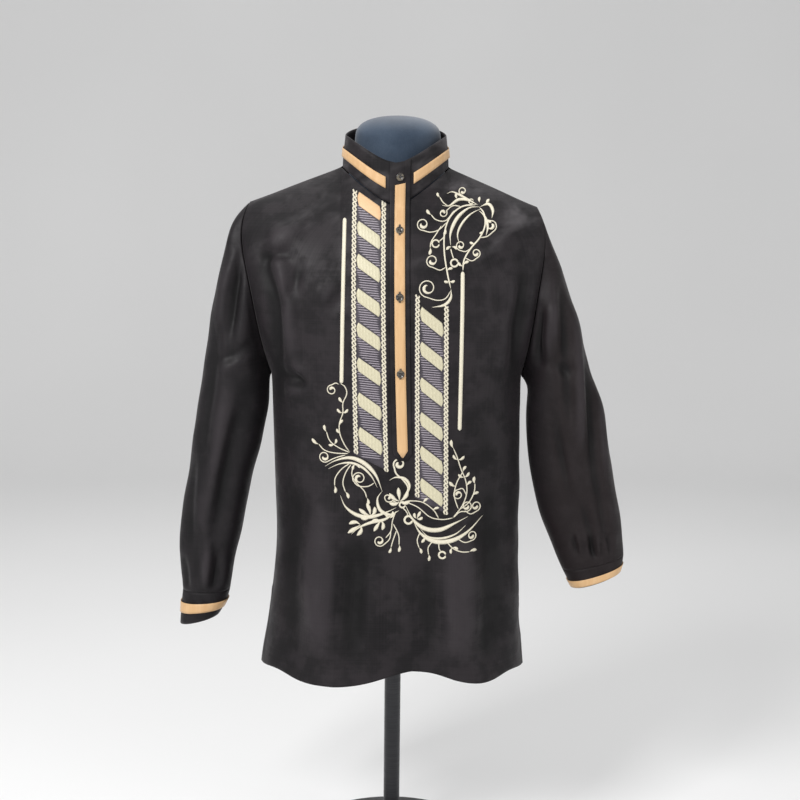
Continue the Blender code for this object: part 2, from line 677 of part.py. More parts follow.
def add_buttons(over_ribbon):
    """Turned buttons down the placket, and one on the collar's tab above the ribbon."""
    places = []
    for height in BUTTON_HEIGHTS:
        for low, high in zip(over_ribbon, over_ribbon[1:]):
            start, end = (low[0] + low[1]) / 2, (high[0] + high[1]) / 2
            if start.z <= height < end.z:
                normal = (low[1] - low[0]).cross(high[0] - low[0]).normalized()
                places.append((start.lerp(end, (height - start.z) / (end.z - start.z)), normal))
    tab_x = (line_x("ribbon_left", DRIFT_TOP_Z) + line_x("ribbon_right", DRIFT_TOP_Z)) / 2
    low, high = (loop_point(neck_angle(tab_x, level, -1), level) for level in (0.5, 0.8))
    normal = Vector((1.0, 0.0, 0.0)).cross(high - low).normalized()
    on_tab = loop_point(neck_angle(tab_x, COLLAR_BUTTON_LEVEL, -1), COLLAR_BUTTON_LEVEL)
    places.append((on_tab + normal * (LAID_ON + RIBBON + LAID_ON), normal))
    rim, dish = 0.86 * BUTTON_RADIUS, 0.0006
    profile = (
        (0.0, BUTTON_THICK - dish), (0.66 * BUTTON_RADIUS, BUTTON_THICK - dish),
        (rim, BUTTON_THICK), (BUTTON_RADIUS, BUTTON_THICK - dish),
        (BUTTON_RADIUS, dish), (rim, 0.0), (0.0, 0.0),
    )
    places.sort(key=lambda place: -place[0].z)
    for number, (point, normal) in enumerate(places, start=1):
        tilt = normal.to_track_quat("Z", "Y").to_euler()
        add_turned(f"button_{number}", profile, point, tilt, button_resin(), steps=24)


# ---------------------------------------------------------------- the dress form

def add_form():
    """The torso and neck are one loft of rounded sections, closed at both ends."""
    bm = bmesh.new()
    loops = []
    for z, half_width, front, back, roundness in FORM:
        ring = bmesh.ops.create_circle(bm, cap_ends=False, segments=FORM_STEPS, radius=1.0)["verts"]
        for vertex in ring:
            across, deep = vertex.co.x, vertex.co.y
            wide = math.copysign(abs(across) ** (2 / roundness), across)
            far = math.copysign(abs(deep) ** (2 / roundness), deep)
            tilted = ease((z - NECK_TILT_FROM) / (FORM[-1][0] - NECK_TILT_FROM))
            height = z + math.tan(NECK_CAP_TILT) * far * back * tilted
            vertex.co = Vector((wide * half_width, far * (back if far > 0 else front), height))
        loops.append([edge for edge in bm.edges if edge.verts[0] in ring and edge.verts[1] in ring])
    for lower, upper in zip(loops, loops[1:]):
        bmesh.ops.bridge_loops(bm, edges=lower + upper)
    bmesh.ops.holes_fill(bm, edges=loops[0] + loops[-1], sides=0)
    bmesh.ops.recalc_face_normals(bm, faces=bm.faces)
    mesh = bpy.data.meshes.new("form_torso")
    bm.to_mesh(mesh)
    bm.free()
    mesh.shade_smooth()
    add_object("form_torso", mesh, form_jersey())


def add_stand():
    _, half_width, front, back, _ = FORM[-1]
    depth = (front + back) / 2
    profile = [(math.sin(math.radians(angle)), NECK_CAP_RIM + NECK_CAP_DOME * math.cos(math.radians(angle)))
               for angle in range(0, 91, NECK_CAP_STEP)]
    profile += [(NECK_CAP_FOOT, 0.0), (0.0, 0.0)]
    middle_y = (back - front) / 2
    cap_z = FORM[-1][0] + math.tan(NECK_CAP_TILT) * middle_y + NECK_CAP_GAP
    tilt = (NECK_CAP_TILT, 0.0, 0.0)
    cap = add_turned("form_neck_cap", profile, (0.0, middle_y, cap_z), tilt, form_jersey())
    cap.scale = (half_width, depth, 1.0)
    pole_bottom, pole_top = BASE_THICK + POLE_GAP, FORM[0][0] - POLE_GAP
    bpy.ops.mesh.primitive_cylinder_add(
        vertices=32, radius=POLE_RADIUS, depth=pole_top - pole_bottom,
        location=(0.0, 0.0, (pole_top + pole_bottom) / 2))
    pole = bpy.context.object
    pole.name = "pole"
    pole.data.materials.append(stand_metal())
    for collection in list(pole.users_collection):
        collection.objects.unlink(pole)
    PART.objects.link(pole)
    profile = (
        (0.0, BASE_THICK), (BASE_RADIUS - BASE_RIM, BASE_THICK),
        (BASE_RADIUS - 0.3 * BASE_RIM, BASE_THICK - 0.3 * BASE_RIM),
        (BASE_RADIUS, BASE_THICK - BASE_RIM), (BASE_RADIUS, 0.0), (0.0, 0.0),
    )
    add_turned("base", profile, (0.0, 0.0, 0.0), (0.0, 0.0, 0.0), stand_metal(), steps=48)


for leftover in list(bpy.data.objects):
    bpy.data.objects.remove(leftover, do_unlink=True)
PART = bpy.data.collections.new("barong tagalog shirt")
bpy.context.scene.collection.children.link(PART)

front = panel_rows(-1)
back = panel_rows(1)
add_body(front, back)
add_sleeves(front, back)
add_collar()
add_buttons(add_laid_on(front))
add_form()
add_stand()
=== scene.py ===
"""Looks of the barong tagalog shirt: black organza shells, gold ribbons, braided bands and scroll embroidery.

Metres, +Z up, the front faces -Y. Left and right are those of someone who looks at the front.
"""

import math

import bmesh
import bpy
import numpy as np
from mathutils import Matrix, Vector
from mathutils.bvhtree import BVHTree


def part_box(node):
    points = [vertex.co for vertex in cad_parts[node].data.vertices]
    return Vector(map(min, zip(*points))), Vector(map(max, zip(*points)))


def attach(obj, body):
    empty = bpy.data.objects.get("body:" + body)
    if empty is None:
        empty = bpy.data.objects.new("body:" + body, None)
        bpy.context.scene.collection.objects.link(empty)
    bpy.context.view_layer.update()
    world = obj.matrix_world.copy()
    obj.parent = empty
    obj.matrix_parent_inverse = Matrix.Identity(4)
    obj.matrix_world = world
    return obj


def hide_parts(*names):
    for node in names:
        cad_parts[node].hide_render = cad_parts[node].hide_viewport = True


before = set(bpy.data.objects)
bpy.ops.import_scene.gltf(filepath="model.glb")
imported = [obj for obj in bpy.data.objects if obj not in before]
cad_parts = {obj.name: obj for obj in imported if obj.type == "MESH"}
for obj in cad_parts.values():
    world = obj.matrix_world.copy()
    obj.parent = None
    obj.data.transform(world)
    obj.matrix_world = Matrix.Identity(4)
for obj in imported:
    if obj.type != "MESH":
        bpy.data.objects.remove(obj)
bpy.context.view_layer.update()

# ---- walls
MERGE = 0.00001
MM = 0.001                       # creases and scrolls list their places in millimetres
CLOTH = 0.0008
DOUBLED = 0.0016
RIBBON = 0.0007
FLAT_TURN = math.radians(42)     # faces that meet flatter than this belong to the same side of a wall
QUAD_LIMIT = math.radians(70)
BLOCK = 2000                     # points measured at a time
HEM = 0.014                      # how deep the hem is turned up
HEM_BELOW = 0.40                 # edges of the front and back below this height are hems
HEM_RISE = 0.0007
HEM_SOFT = 0.0025
CREASE_DEPTH = 1.45              # all the creases are this much deeper and wider than listed
CREASE_WIDTH = 1.30
FOLD_SHADE = 0.0075              # a fold this deep is in full shade, and one this high in full light

# ---- levels of subdivision
PANEL_LEVELS = 3
TRIM_LEVELS = 2

# ---- axes that the maps of the weave are wound round: a place on each, and its direction
LEFT_ARM = ((-0.265, 0.0, 0.68), (-0.10, 0.0, 1.0))
RIGHT_ARM = ((0.265, 0.0, 0.72), (0.16, 0.0, 1.0))
UPRIGHT = ((0.0, 0.0, 0.0), (0.0, 0.0, 1.0))
ARM_RADIUS = 0.07
WRIST_RADIUS = 0.037
NECK_RADIUS = 0.08
TRIM_REACH = 0.006               # creases of a collar or cuff fade out this near its edges


# ---------------------------------------------------------------- small helpers

def link(mesh, name):
    piece = bpy.data.objects.new(name, mesh)
    bpy.context.scene.collection.objects.link(piece)
    return piece


def finished(bm, name, material):
    """The bmesh as a smooth piece of that name and material."""
    mesh = bpy.data.meshes.new(name)
    bm.to_mesh(mesh)
    bm.free()
    mesh.materials.append(material)
    mesh.shade_smooth()
    return link(mesh, name)


def ease(value):
    value = min(max(value, 0.0), 1.0)
    return value * value * (3 - 2 * value)


def in_metres(route):
    """The places of a route that is listed in millimetres."""
    return [Vector(place) * MM for place in route]


def smooth_path(points, steps):
    """Points on a smooth curve through the given ones, steps to each stretch."""
    path = []
    ends = [2 * points[0] - points[1]] + list(points) + [2 * points[-1] - points[-2]]
    for before, start, end, after in zip(ends, ends[1:], ends[2:], ends[3:]):
        leave, arrive = (end - before) / 2, (after - start) / 2
        for step in range(steps):
            u = step / steps
            path.append(start + u * (leave + u * (3 * (end - start) - 2 * leave - arrive
                                                  + u * (leave + arrive - 2 * (end - start)))))
    path.append(points[-1].copy())
    return path


# ---------------------------------------------------------------- material groups

def new_group(name, inputs, outputs):
    """A shader node group with named sockets, and its input and output nodes."""
    group = bpy.data.node_groups.new(name, "ShaderNodeTree")
    for socket_name, kind, default in inputs:
        socket = group.interface.new_socket(socket_name, in_out="INPUT", socket_type=kind)
        if default is not None:
            socket.default_value = default
    for socket_name, kind in outputs:
        group.interface.new_socket(socket_name, in_out="OUTPUT", socket_type=kind)
    return group, group.nodes.new("NodeGroupInput"), group.nodes.new("NodeGroupOutput")


def maths(tree, operation, first, second=None, third=None, clamp=False):
    node = tree.nodes.new("ShaderNodeMath")
    node.operation = operation
    node.use_clamp = clamp
    for socket, value in zip(node.inputs, (first, second, third)):
        if isinstance(value, bpy.types.NodeSocket):
            tree.links.new(value, socket)
        elif value is not None:
            socket.default_value = value
    return node.outputs[0]


def noise(tree, vector, scale, detail=3.0, roughness=0.55):
    node = tree.nodes.new("ShaderNodeTexNoise")
    tree.links.new(vector, node.inputs["Vector"])
    node.inputs["Scale"].default_value = scale
    node.inputs["Detail"].default_value = detail
    node.inputs["Roughness"].default_value = roughness
    return node.outputs["Fac"]


def stretched(tree, vector, scale, turn=(0.0, 0.0, 0.0)):
    node = tree.nodes.new("ShaderNodeMapping")
    tree.links.new(vector, node.inputs["Vector"])
    node.inputs["Scale"].default_value = scale
    node.inputs["Rotation"].default_value = turn
    return node.outputs["Vector"]


def blend_colours(tree, share, first, second):
    node = tree.nodes.new("ShaderNodeMix")
    node.data_type = "RGBA"
    for socket, value in ((node.inputs["Factor"], share), (node.inputs[6], first), (node.inputs[7], second)):
        if isinstance(value, bpy.types.NodeSocket):
            tree.links.new(value, socket)
        else:
            socket.default_value = value
    return node.outputs[2]


def ramp(tree, value, low, high, start=0.0, end=1.0):
    node = tree.nodes.new("ShaderNodeMapRange")
    node.interpolation_type = "SMOOTHSTEP"
    tree.links.new(value, node.inputs["Value"])
    node.inputs["From Min"].default_value = low
    node.inputs["From Max"].default_value = high
    node.inputs["To Min"].default_value = start
    node.inputs["To Max"].default_value = end
    return node.outputs["Result"]


def weave_group():
    """Plain weave: threads over and under each other, read from a map in metres."""
    group, taken, given = new_group(
        "plain weave",
        [("Map", "NodeSocketVector", None), ("Threads per metre", "NodeSocketFloat", 1500.0)],
        [("Height", "NodeSocketFloat"), ("Slub", "NodeSocketFloat")])
    split = group.nodes.new("ShaderNodeSeparateXYZ")
    group.links.new(taken.outputs["Map"], split.inputs[0])
    turns = maths(group, "MULTIPLY", taken.outputs["Threads per metre"], math.pi)
    warp = maths(group, "SINE", maths(group, "MULTIPLY", split.outputs[0], turns))
    weft = maths(group, "SINE", maths(group, "MULTIPLY", split.outputs[1], turns))
    crossing = maths(group, "MULTIPLY", warp, weft)
    height = maths(group, "MULTIPLY_ADD", crossing, 0.5, 0.5)
    group.links.new(height, given.inputs["Height"])
    along = noise(group, stretched(group, taken.outputs["Map"], (900.0, 6.0, 1.0)), 1.0, 2.0)
    across = noise(group, stretched(group, taken.outputs["Map"], (6.0, 900.0, 1.0)), 1.0, 2.0)
    group.links.new(maths(group, "ADD", maths(group, "MULTIPLY", along, 0.5),
                          maths(group, "MULTIPLY", across, 0.5)), given.inputs["Slub"])
    return group


def new_material(name, roughness, **fixed):
    """A material whose shader has these numbers; returns it with its tree and shader."""
    material = bpy.data.materials.new(name)
    material.use_nodes = True
    tree = material.node_tree
    shader = tree.nodes["Principled BSDF"]
    shader.inputs["Roughness"].default_value = roughness
    for socket, value in fixed.items():
        shader.inputs[socket.replace("_", " ")].default_value = value
    return material, tree, shader


def add_bump(tree, shader, height, strength, distance):
    bump = tree.nodes.new("ShaderNodeBump")
    bump.inputs["Strength"].default_value = strength
    bump.inputs["Distance"].default_value = distance
    tree.links.new(height, bump.inputs["Height"])
    tree.links.new(bump.outputs["Normal"], shader.inputs["Normal"])


def map_of(tree, name):
    node = tree.nodes.new("ShaderNodeUVMap")
    node.uv_map = name
    return node.outputs["UV"]


def object_place(tree):
    return tree.nodes.new("ShaderNodeTexCoord").outputs["Object"]


# ---------------------------------------------------------------- finishes

WEAVE = weave_group()


def organza(name, deep, pale, fold_shaded=True):
    """Black sheer cloth: slubs and soft clouds, with a painted silvery sheen over the shoulders, the right
    sleeve painted browner as light shining through it, painted shade on both sleeves, and painted shade in
    crease valleys with painted highlights on ridges.
    """
    material, tree, shader = new_material(name, 0.5, Sheen_Weight=0.07, Sheen_Roughness=0.4,
                                          Specular_IOR_Level=0.26, Sheen_Tint=(0.80, 0.76, 0.78, 1.0))
    weave = tree.nodes.new("ShaderNodeGroup")
    weave.node_tree = WEAVE
    weave.inputs["Threads per metre"].default_value = 1300.0
    tree.links.new(map_of(tree, "cloth"), weave.inputs["Map"])
    place = object_place(tree)
    clouds = maths(tree, "MULTIPLY_ADD", ramp(tree, noise(tree, place, 7.0, 4.0), 0.38, 0.64), 0.5,
                   maths(tree, "MULTIPLY", ramp(tree, noise(tree, place, 28.0, 5.0, 0.65), 0.42, 0.60), 0.5))
    slub = ramp(tree, weave.outputs["Slub"], 0.36, 0.66)
    share = maths(tree, "MULTIPLY_ADD", slub, 0.30, maths(tree, "MULTIPLY", clouds, 0.70))
    cloth = blend_colours(tree, share, (*deep, 1.0), (*pale, 1.0))
    split = tree.nodes.new("ShaderNodeSeparateXYZ")
    tree.links.new(place, split.inputs[0])
    # Painted sheen: a silvery highlight painted into the colour high on the shoulders, in leaning streaks and
    # patches.
    high = ramp(tree, split.outputs[2], 0.86, 0.99)
    leaning = stretched(tree, place, (1.0, 1.0, 1.0), (0.0, 0.5, 0.0))
    sheen_streaks = ramp(tree, noise(tree, stretched(tree, leaning, (11.0, 14.0, 32.0)), 1.0, 3.0, 0.5), 0.42, 0.70)
    sheen_patches = ramp(tree, noise(tree, place, 16.0, 3.0), 0.38, 0.66)
    sheen_streaks = maths(tree, "MULTIPLY", sheen_streaks, sheen_patches)
    painted_sheen = maths(tree, "MULTIPLY", high, sheen_streaks)
    cloth = blend_colours(tree, maths(tree, "MULTIPLY", painted_sheen, 0.80), cloth, (0.092, 0.085, 0.090, 1.0))
    # Painted light: the right sleeve is painted browner, as light shining through the sheer cloth.
    painted_backlight = ramp(tree, split.outputs[0], 0.195, 0.250)
    cloth = blend_colours(tree, maths(tree, "MULTIPLY", painted_backlight, 0.55), cloth, (0.024, 0.0135, 0.0130, 1.0))
    # Painted shade: both sleeves, past the body's sides, are painted darker.
    sleeve_shade = ramp(tree, maths(tree, "ABSOLUTE", split.outputs[0], 0.0), 0.180, 0.235)
    cloth = blend_colours(tree, maths(tree, "MULTIPLY", sleeve_shade, 0.5), cloth, (0.0030, 0.0022, 0.0032, 1.0))
    # Painted shade and highlight: crease valleys are painted darker and ridges lighter, from the fold depth
    # stored on the shell.
    if fold_shaded:
        fold = tree.nodes.new("ShaderNodeAttribute")
        fold.attribute_name = "fold"
        painted_crease_shade = ramp(tree, fold.outputs["Fac"], 0.02, 0.46, 0.85, 0.0)
        painted_ridge_highlight = ramp(tree, fold.outputs["Fac"], 0.54, 1.0, 0.0, 0.55)
        cloth = blend_colours(tree, painted_crease_shade, cloth, (0.0012, 0.0009, 0.0013, 1.0))
        cloth = blend_colours(tree, painted_ridge_highlight, cloth, (0.036, 0.030, 0.034, 1.0))
    tree.links.new(cloth, shader.inputs["Base Color"])
    tree.links.new(ramp(tree, share, 0.0, 1.0, 0.72, 0.52), shader.inputs["Roughness"])
    bulk = maths(tree, "MULTIPLY_ADD", weave.outputs["Slub"], 0.6,
                 maths(tree, "MULTIPLY", weave.outputs["Height"], 0.4))
    add_bump(tree, shader, bulk, 0.35, 0.0004)
    return material


def ribbon_satin():
    """Peach-gold ribbon: fine cross ribs, faint lengthwise shading."""
    material, tree, shader = new_material("peach gold ribbon", 0.5, Sheen_Weight=0.15, Specular_IOR_Level=0.4)
    weave = tree.nodes.new("ShaderNodeGroup")
    weave.node_tree = WEAVE
    weave.inputs["Threads per metre"].default_value = 1800.0
    tree.links.new(map_of(tree, "cloth"), weave.inputs["Map"])
    place = object_place(tree)
    shade = ramp(tree, noise(tree, stretched(tree, place, (160.0, 160.0, 18.0)), 1.0, 2.0), 0.3, 0.75)
    share = maths(tree, "MULTIPLY_ADD", weave.outputs["Slub"], 0.4, maths(tree, "MULTIPLY", shade, 0.6))
    gold = blend_colours(tree, share, (0.60, 0.36, 0.17, 1.0), (0.70, 0.46, 0.24, 1.0))
    tree.links.new(gold, shader.inputs["Base Color"])
    tree.links.new(ramp(tree, share, 0.0, 1.0, 0.58, 0.42), shader.inputs["Roughness"])
    add_bump(tree, shader, weave.outputs["Height"], 0.25, 0.0002)
    return material


def thread(name, dark, light, pitch):
    """Stitched thread: strands lie across the stitch map's second direction."""
    material, tree, shader = new_material(name, 0.45, Sheen_Weight=0.2, Specular_IOR_Level=0.45)
    place = map_of(tree, "stitch")
    split = tree.nodes.new("ShaderNodeSeparateXYZ")
    tree.links.new(place, split.inputs[0])
    wobble = noise(tree, stretched(tree, place, (300.0, 300.0, 1.0)), 1.0, 2.0)
    phase = maths(tree, "MULTIPLY_ADD", split.outputs[1], 2 * math.pi / pitch,
                  maths(tree, "MULTIPLY", wobble, 2.5))
    strand = maths(tree, "MULTIPLY_ADD", maths(tree, "SINE", phase), 0.5, 0.5)
    share = maths(tree, "MULTIPLY_ADD", strand, 0.55, maths(tree, "MULTIPLY", wobble, 0.55), clamp=True)
    tree.links.new(blend_colours(tree, share, (*dark, 1.0), (*light, 1.0)), shader.inputs["Base Color"])
    tree.links.new(ramp(tree, strand, 0.0, 1.0, 0.55, 0.38), shader.inputs["Roughness"])
    add_bump(tree, shader, strand, 0.5, 0.0002)
    return material


def jersey():
    """Slate knitted cover of the dress form."""
    material, tree, shader = new_material("slate jersey", 0.75, Sheen_Weight=0.35, Sheen_Roughness=0.5,
                                          Specular_IOR_Level=0.3)
    place = object_place(tree)
    knit = noise(tree, stretched(tree, place, (900.0, 900.0, 500.0)), 1.0, 2.0)
    clouds = ramp(tree, noise(tree, place, 18.0, 4.0), 0.3, 0.7)
    share = maths(tree, "MULTIPLY_ADD", knit, 0.35, maths(tree, "MULTIPLY", clouds, 0.65))
    tree.links.new(blend_colours(tree, share, (0.0165, 0.031, 0.055, 1.0), (0.044, 0.068, 0.105, 1.0)),
                   shader.inputs["Base Color"])
    tree.links.new(ramp(tree, knit, 0.3, 0.7, 0.85, 0.65), shader.inputs["Roughness"])
    add_bump(tree, shader, knit, 0.4, 0.0004)
    return material


def steel():
    """Dark lacquered steel with faint turning marks."""
    material, tree, shader = new_material("dark steel", 0.35, Metallic=0.85, Coat_Weight=0.3,
                                          Coat_Roughness=0.2)
    place = object_place(tree)
    marks = noise(tree, stretched(tree, place, (25.0, 25.0, 600.0)), 1.0, 3.0)
    tree.links.new(blend_colours(tree, marks, (0.016, 0.016, 0.018, 1.0), (0.042, 0.042, 0.046, 1.0)),
                   shader.inputs["Base Color"])
    tree.links.new(ramp(tree, marks, 0.3, 0.7, 0.42, 0.28), shader.inputs["Roughness"])
    add_bump(tree, shader, marks, 0.1, 0.0002)
    return material


def button_resin():
    """Dark horn-like resin with lighter clouds."""
    material, tree, shader = new_material("dark horn button", 0.25, Coat_Weight=0.5, Coat_Roughness=0.12)
    place = object_place(tree)
    clouds = ramp(tree, noise(tree, stretched(tree, place, (260.0, 260.0, 420.0)), 1.0, 3.0), 0.42, 0.66)
    tree.links.new(blend_colours(tree, clouds, (0.020, 0.017, 0.017, 1.0), (0.150, 0.125, 0.085, 1.0)),
                   shader.inputs["Base Color"])
    tree.links.new(ramp(tree, clouds, 0.0, 1.0, 0.22, 0.36), shader.inputs["Roughness"])
    return material


ORGANZA = organza("black organza", (0.0030, 0.0024, 0.0032), (0.0185, 0.0145, 0.0170))
GOLD = ribbon_satin()
CREAM = thread("cream thread", (0.56, 0.50, 0.36), (0.90, 0.85, 0.70), 0.0009)
GREY = thread("grey thread", (0.22, 0.19, 0.23), (0.48, 0.43, 0.48), 0.0009)
SATIN = thread("cream satin", (0.36, 0.32, 0.20), (0.80, 0.75, 0.55), 0.0025)
GOLD_THREAD = thread("peach satin", (0.60, 0.36, 0.19), (0.86, 0.58, 0.32), 0.0017)
LINING = organza("grey lining", (0.035, 0.031, 0.040), (0.080, 0.070, 0.082), fold_shaded=False)
BLACK_THREAD = thread("black thread", (0.010, 0.009, 0.010), (0.050, 0.045, 0.050), 0.0006)
JERSEY = jersey()
STEEL = steel()
HORN = button_resin()


# ---------------------------------------------------------------- cloth shells on their solids

def outer_face(node, facing):
    """The outer side of a wall, in quads; facing is the sign of Y where it is surely outermost."""
    bm = bmesh.new()
    bm.from_mesh(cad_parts[node].data)
    bmesh.ops.remove_doubles(bm, verts=bm.verts, dist=MERGE)
    bm.normal_update()
    ahead = [face for face in bm.faces if face.normal.y * facing > 0.5]
    first = max(ahead, key=lambda face: face.calc_center_median().y * facing)
    found, waiting = {first}, [first]
    while waiting:
        face = waiting.pop()
        for edge in face.edges:
            for other in edge.link_faces:
                if other not in found and other.normal.angle(face.normal, math.pi) < FLAT_TURN:
                    found.add(other)
                    waiting.append(other)
    bmesh.ops.delete(bm, geom=[face for face in bm.faces if face not in found], context="FACES")
    bmesh.ops.join_triangles(bm, faces=bm.faces, angle_face_threshold=QUAD_LIMIT,
                             angle_shape_threshold=math.pi, topology_influence=1.0)
    return bm


def refined(bm, levels):
    """A fine, smooth mesh on the coarse one."""
    coarse = bpy.data.meshes.new("coarse")
    bm.to_mesh(coarse)
    bm.free()
    cage = link(coarse, "cage")
    smooth = cage.modifiers.new("smooth", "SUBSURF")
    smooth.levels = smooth.render_levels = levels
    smooth.boundary_smooth = "PRESERVE_CORNERS"
    fine = bpy.data.meshes.new_from_object(cage.evaluated_get(bpy.context.evaluated_depsgraph_get()))
    bpy.data.objects.remove(cage)
    return fine


def read_points(mesh):
    points = np.empty(len(mesh.vertices) * 3)
    mesh.vertices.foreach_get("co", points)
    return points.reshape(-1, 3)


def read_normals(mesh):
    normals = np.empty(len(mesh.vertices) * 3)
    mesh.vertices.foreach_get("normal", normals)
    return normals.reshape(-1, 3)


def rim_of(mesh):
    """The numbers of the vertices on the mesh's open edges."""
    counts = np.zeros(len(mesh.edges), int)
    corner_edges = np.empty(len(mesh.loops), int)
    mesh.loops.foreach_get("edge_index", corner_edges)
    np.add.at(counts, corner_edges, 1)
    ends = np.empty(len(mesh.edges) * 2, int)
    mesh.edges.foreach_get("vertices", ends)
    return np.unique(ends.reshape(-1, 2)[counts == 1])


def distance_to(points, marks):
    """How far each point is from the nearest mark."""
    gaps = np.full(len(points), 1.0)
    for start in range(0, len(points), BLOCK):
        block = points[start:start + BLOCK]
        if len(marks):
            apart = np.linalg.norm(block[:, None, :] - marks[None, :, :], axis=2)
            gaps[start:start + BLOCK] = apart.min(axis=1)
    return gaps


def soft_step(share):
    share = np.clip(share, 0, 1)
    return share * share * (3 - 2 * share)


def crease_depths(points, normals, creases, facing):
    """How far each point moves out for the creases: a trough or ridge with a softer swelling beside it."""
    depths = np.zeros(len(points))
    seen = np.clip(normals[:, 1] * facing * 3 + 0.3, 0, 1)
    flat = points[:, [0, 2]]
    for depth, width, route in creases:
        path = smooth_path(in_metres(route), 6)
        best = np.full(len(points), 1e9)
        along = np.zeros(len(points))
        side = np.zeros(len(points))
        for number, (start, end) in enumerate(zip(path, path[1:])):
            run = np.array(end - start)
            offset = flat - np.array(start)
            share = np.clip(offset @ run / max(run @ run, 1e-12), 0, 1)
            away = offset - share[:, None] * run
            gap = np.hypot(away[:, 0], away[:, 1])
            nearer = gap < best
            best = np.where(nearer, gap, best)
            along = np.where(nearer, (number + share) / (len(path) - 1), along)
            turn = run[0] * offset[:, 1] - run[1] * offset[:, 0]
            side = np.where(nearer, np.sign(turn), side)
        taper = np.sin(math.pi * np.clip(along, 0, 1)) ** 0.7
        gap = best * side
        width *= CREASE_WIDTH
        shape = np.exp(-(gap / width) ** 2) - 0.45 * np.exp(-((gap - 1.9 * width) / (1.2 * width)) ** 2)
        depths += CREASE_DEPTH * depth * taper * shape * seen
    return depths


def ripples(points, height):
    """A slow unevenness, so that no stretch of cloth is quite smooth."""
    x, y, z = points.T
    waves = (np.sin(31 * x + 17 * z + 1.3) * np.sin(23 * z - 11 * x + 9 * y)
             + 0.6 * np.sin(57 * x - 29 * z + 0.4) * np.sin(41 * z + 37 * y + 2.1)
             + 0.4 * np.sin(83 * z + 61 * x + 5.0 * y))
    calm = np.clip((np.abs(x - 0.008) - 0.085) / 0.03, 0.15, 1) if height else 1
    return height * waves * np.where((y < 0) & (z > 0.5), calm, 1)


def lay_map(mesh, origin, along, radius, facing):
    """A map in metres wound round an axis: round it from the facing side, and along it."""
    axis = Vector(along).normalized()
    ahead = Vector((0.0, facing, 0.0))
    ahead = (ahead - axis * ahead.dot(axis)).normalized()
    points = read_points(mesh) - np.array(origin)
    round_it = np.arctan2(points @ np.array(axis.cross(ahead)), points @ np.array(ahead)) * radius
    up = points @ np.array(axis)
    corners = np.empty(len(mesh.loops), int)
    mesh.loops.foreach_get("vertex_index", corners)
    starts = np.empty(len(mesh.polygons), int)
    mesh.polygons.foreach_get("loop_start", starts)
    totals = np.empty(len(mesh.polygons), int)
    mesh.polygons.foreach_get("loop_total", totals)
    u = round_it[corners]
    first = np.repeat(u[starts], totals)
    turn = 2 * math.pi * radius
    u = u - turn * np.round((u - first) / turn)
    layer = mesh.uv_layers.new(name="cloth")
    layer.data.foreach_set("uv", np.stack([u, up[corners]], axis=1).ravel())


def rounded_end(points, radius):
    """A strip's lower end with its corners rounded off."""
    x, z = points[:, 0], points[:, 2]
    short = np.clip(1 - (z - z.min()) / radius, 0, 1)
    end = x[z < z.min() + radius]
    middle, half = (end.min() + end.max()) / 2, (end.max() - end.min()) / 2
    share = 1 - radius * (1 - np.sqrt(1 - short ** 2)) / half
    return np.stack([middle + (x - middle) * share, points[:, 1], z], axis=1)


def add_shell(node, facing, levels, thickness, material, creases=(), back_creases=(), ripple=0.0,
              reach=0.014, hem_z=0.0, axis=UPRIGHT, radius=0.16, round_off=0.0, slot="cloth"):
    """A thin shell on the node's outer side, creased, with its map of the weave."""
    mesh = refined(outer_face(node, facing), levels)
    points, normals = read_points(mesh), read_normals(mesh)
    if round_off:
        points = rounded_end(points, round_off)
    depths = crease_depths(points, normals, creases, -1) + crease_depths(points, normals, back_creases, 1)
    depths += ripples(points, ripple)
    rim = points[rim_of(mesh)]
    depths *= soft_step(distance_to(points, rim[rim[:, 2] > hem_z]) / reach)
    # The fold depth as a share, which the cloth's material turns into painted shade in valleys and painted
    # highlight on ridges.
    fold_shading = np.clip(0.5 + depths / (2 * FOLD_SHADE), 0, 1)
    depths += HEM_RISE * soft_step((HEM - distance_to(points, rim[rim[:, 2] <= hem_z])) / HEM_SOFT)
    points = points + normals * depths[:, None]
    mesh.vertices.foreach_set("co", points.ravel())
    mesh.update()
    mesh.attributes.new("fold", "FLOAT", "POINT").data.foreach_set("value", fold_shading)
    lay_map(mesh, *axis, radius, facing)
    mesh.name = f"{node}_cloth"
    mesh.materials.clear()
    mesh.materials.append(material)
    mesh.shade_smooth()
    shell = link(mesh, f"{node}_cloth")
    wall = shell.modifiers.new("wall", "SOLIDIFY")
    wall.thickness = thickness
    wall.offset = -1.0
    wall.use_even_offset = False
    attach(shell, "root")
    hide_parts(node)
    return shell


# ---------------------------------------------------------------- the shirt's cloth

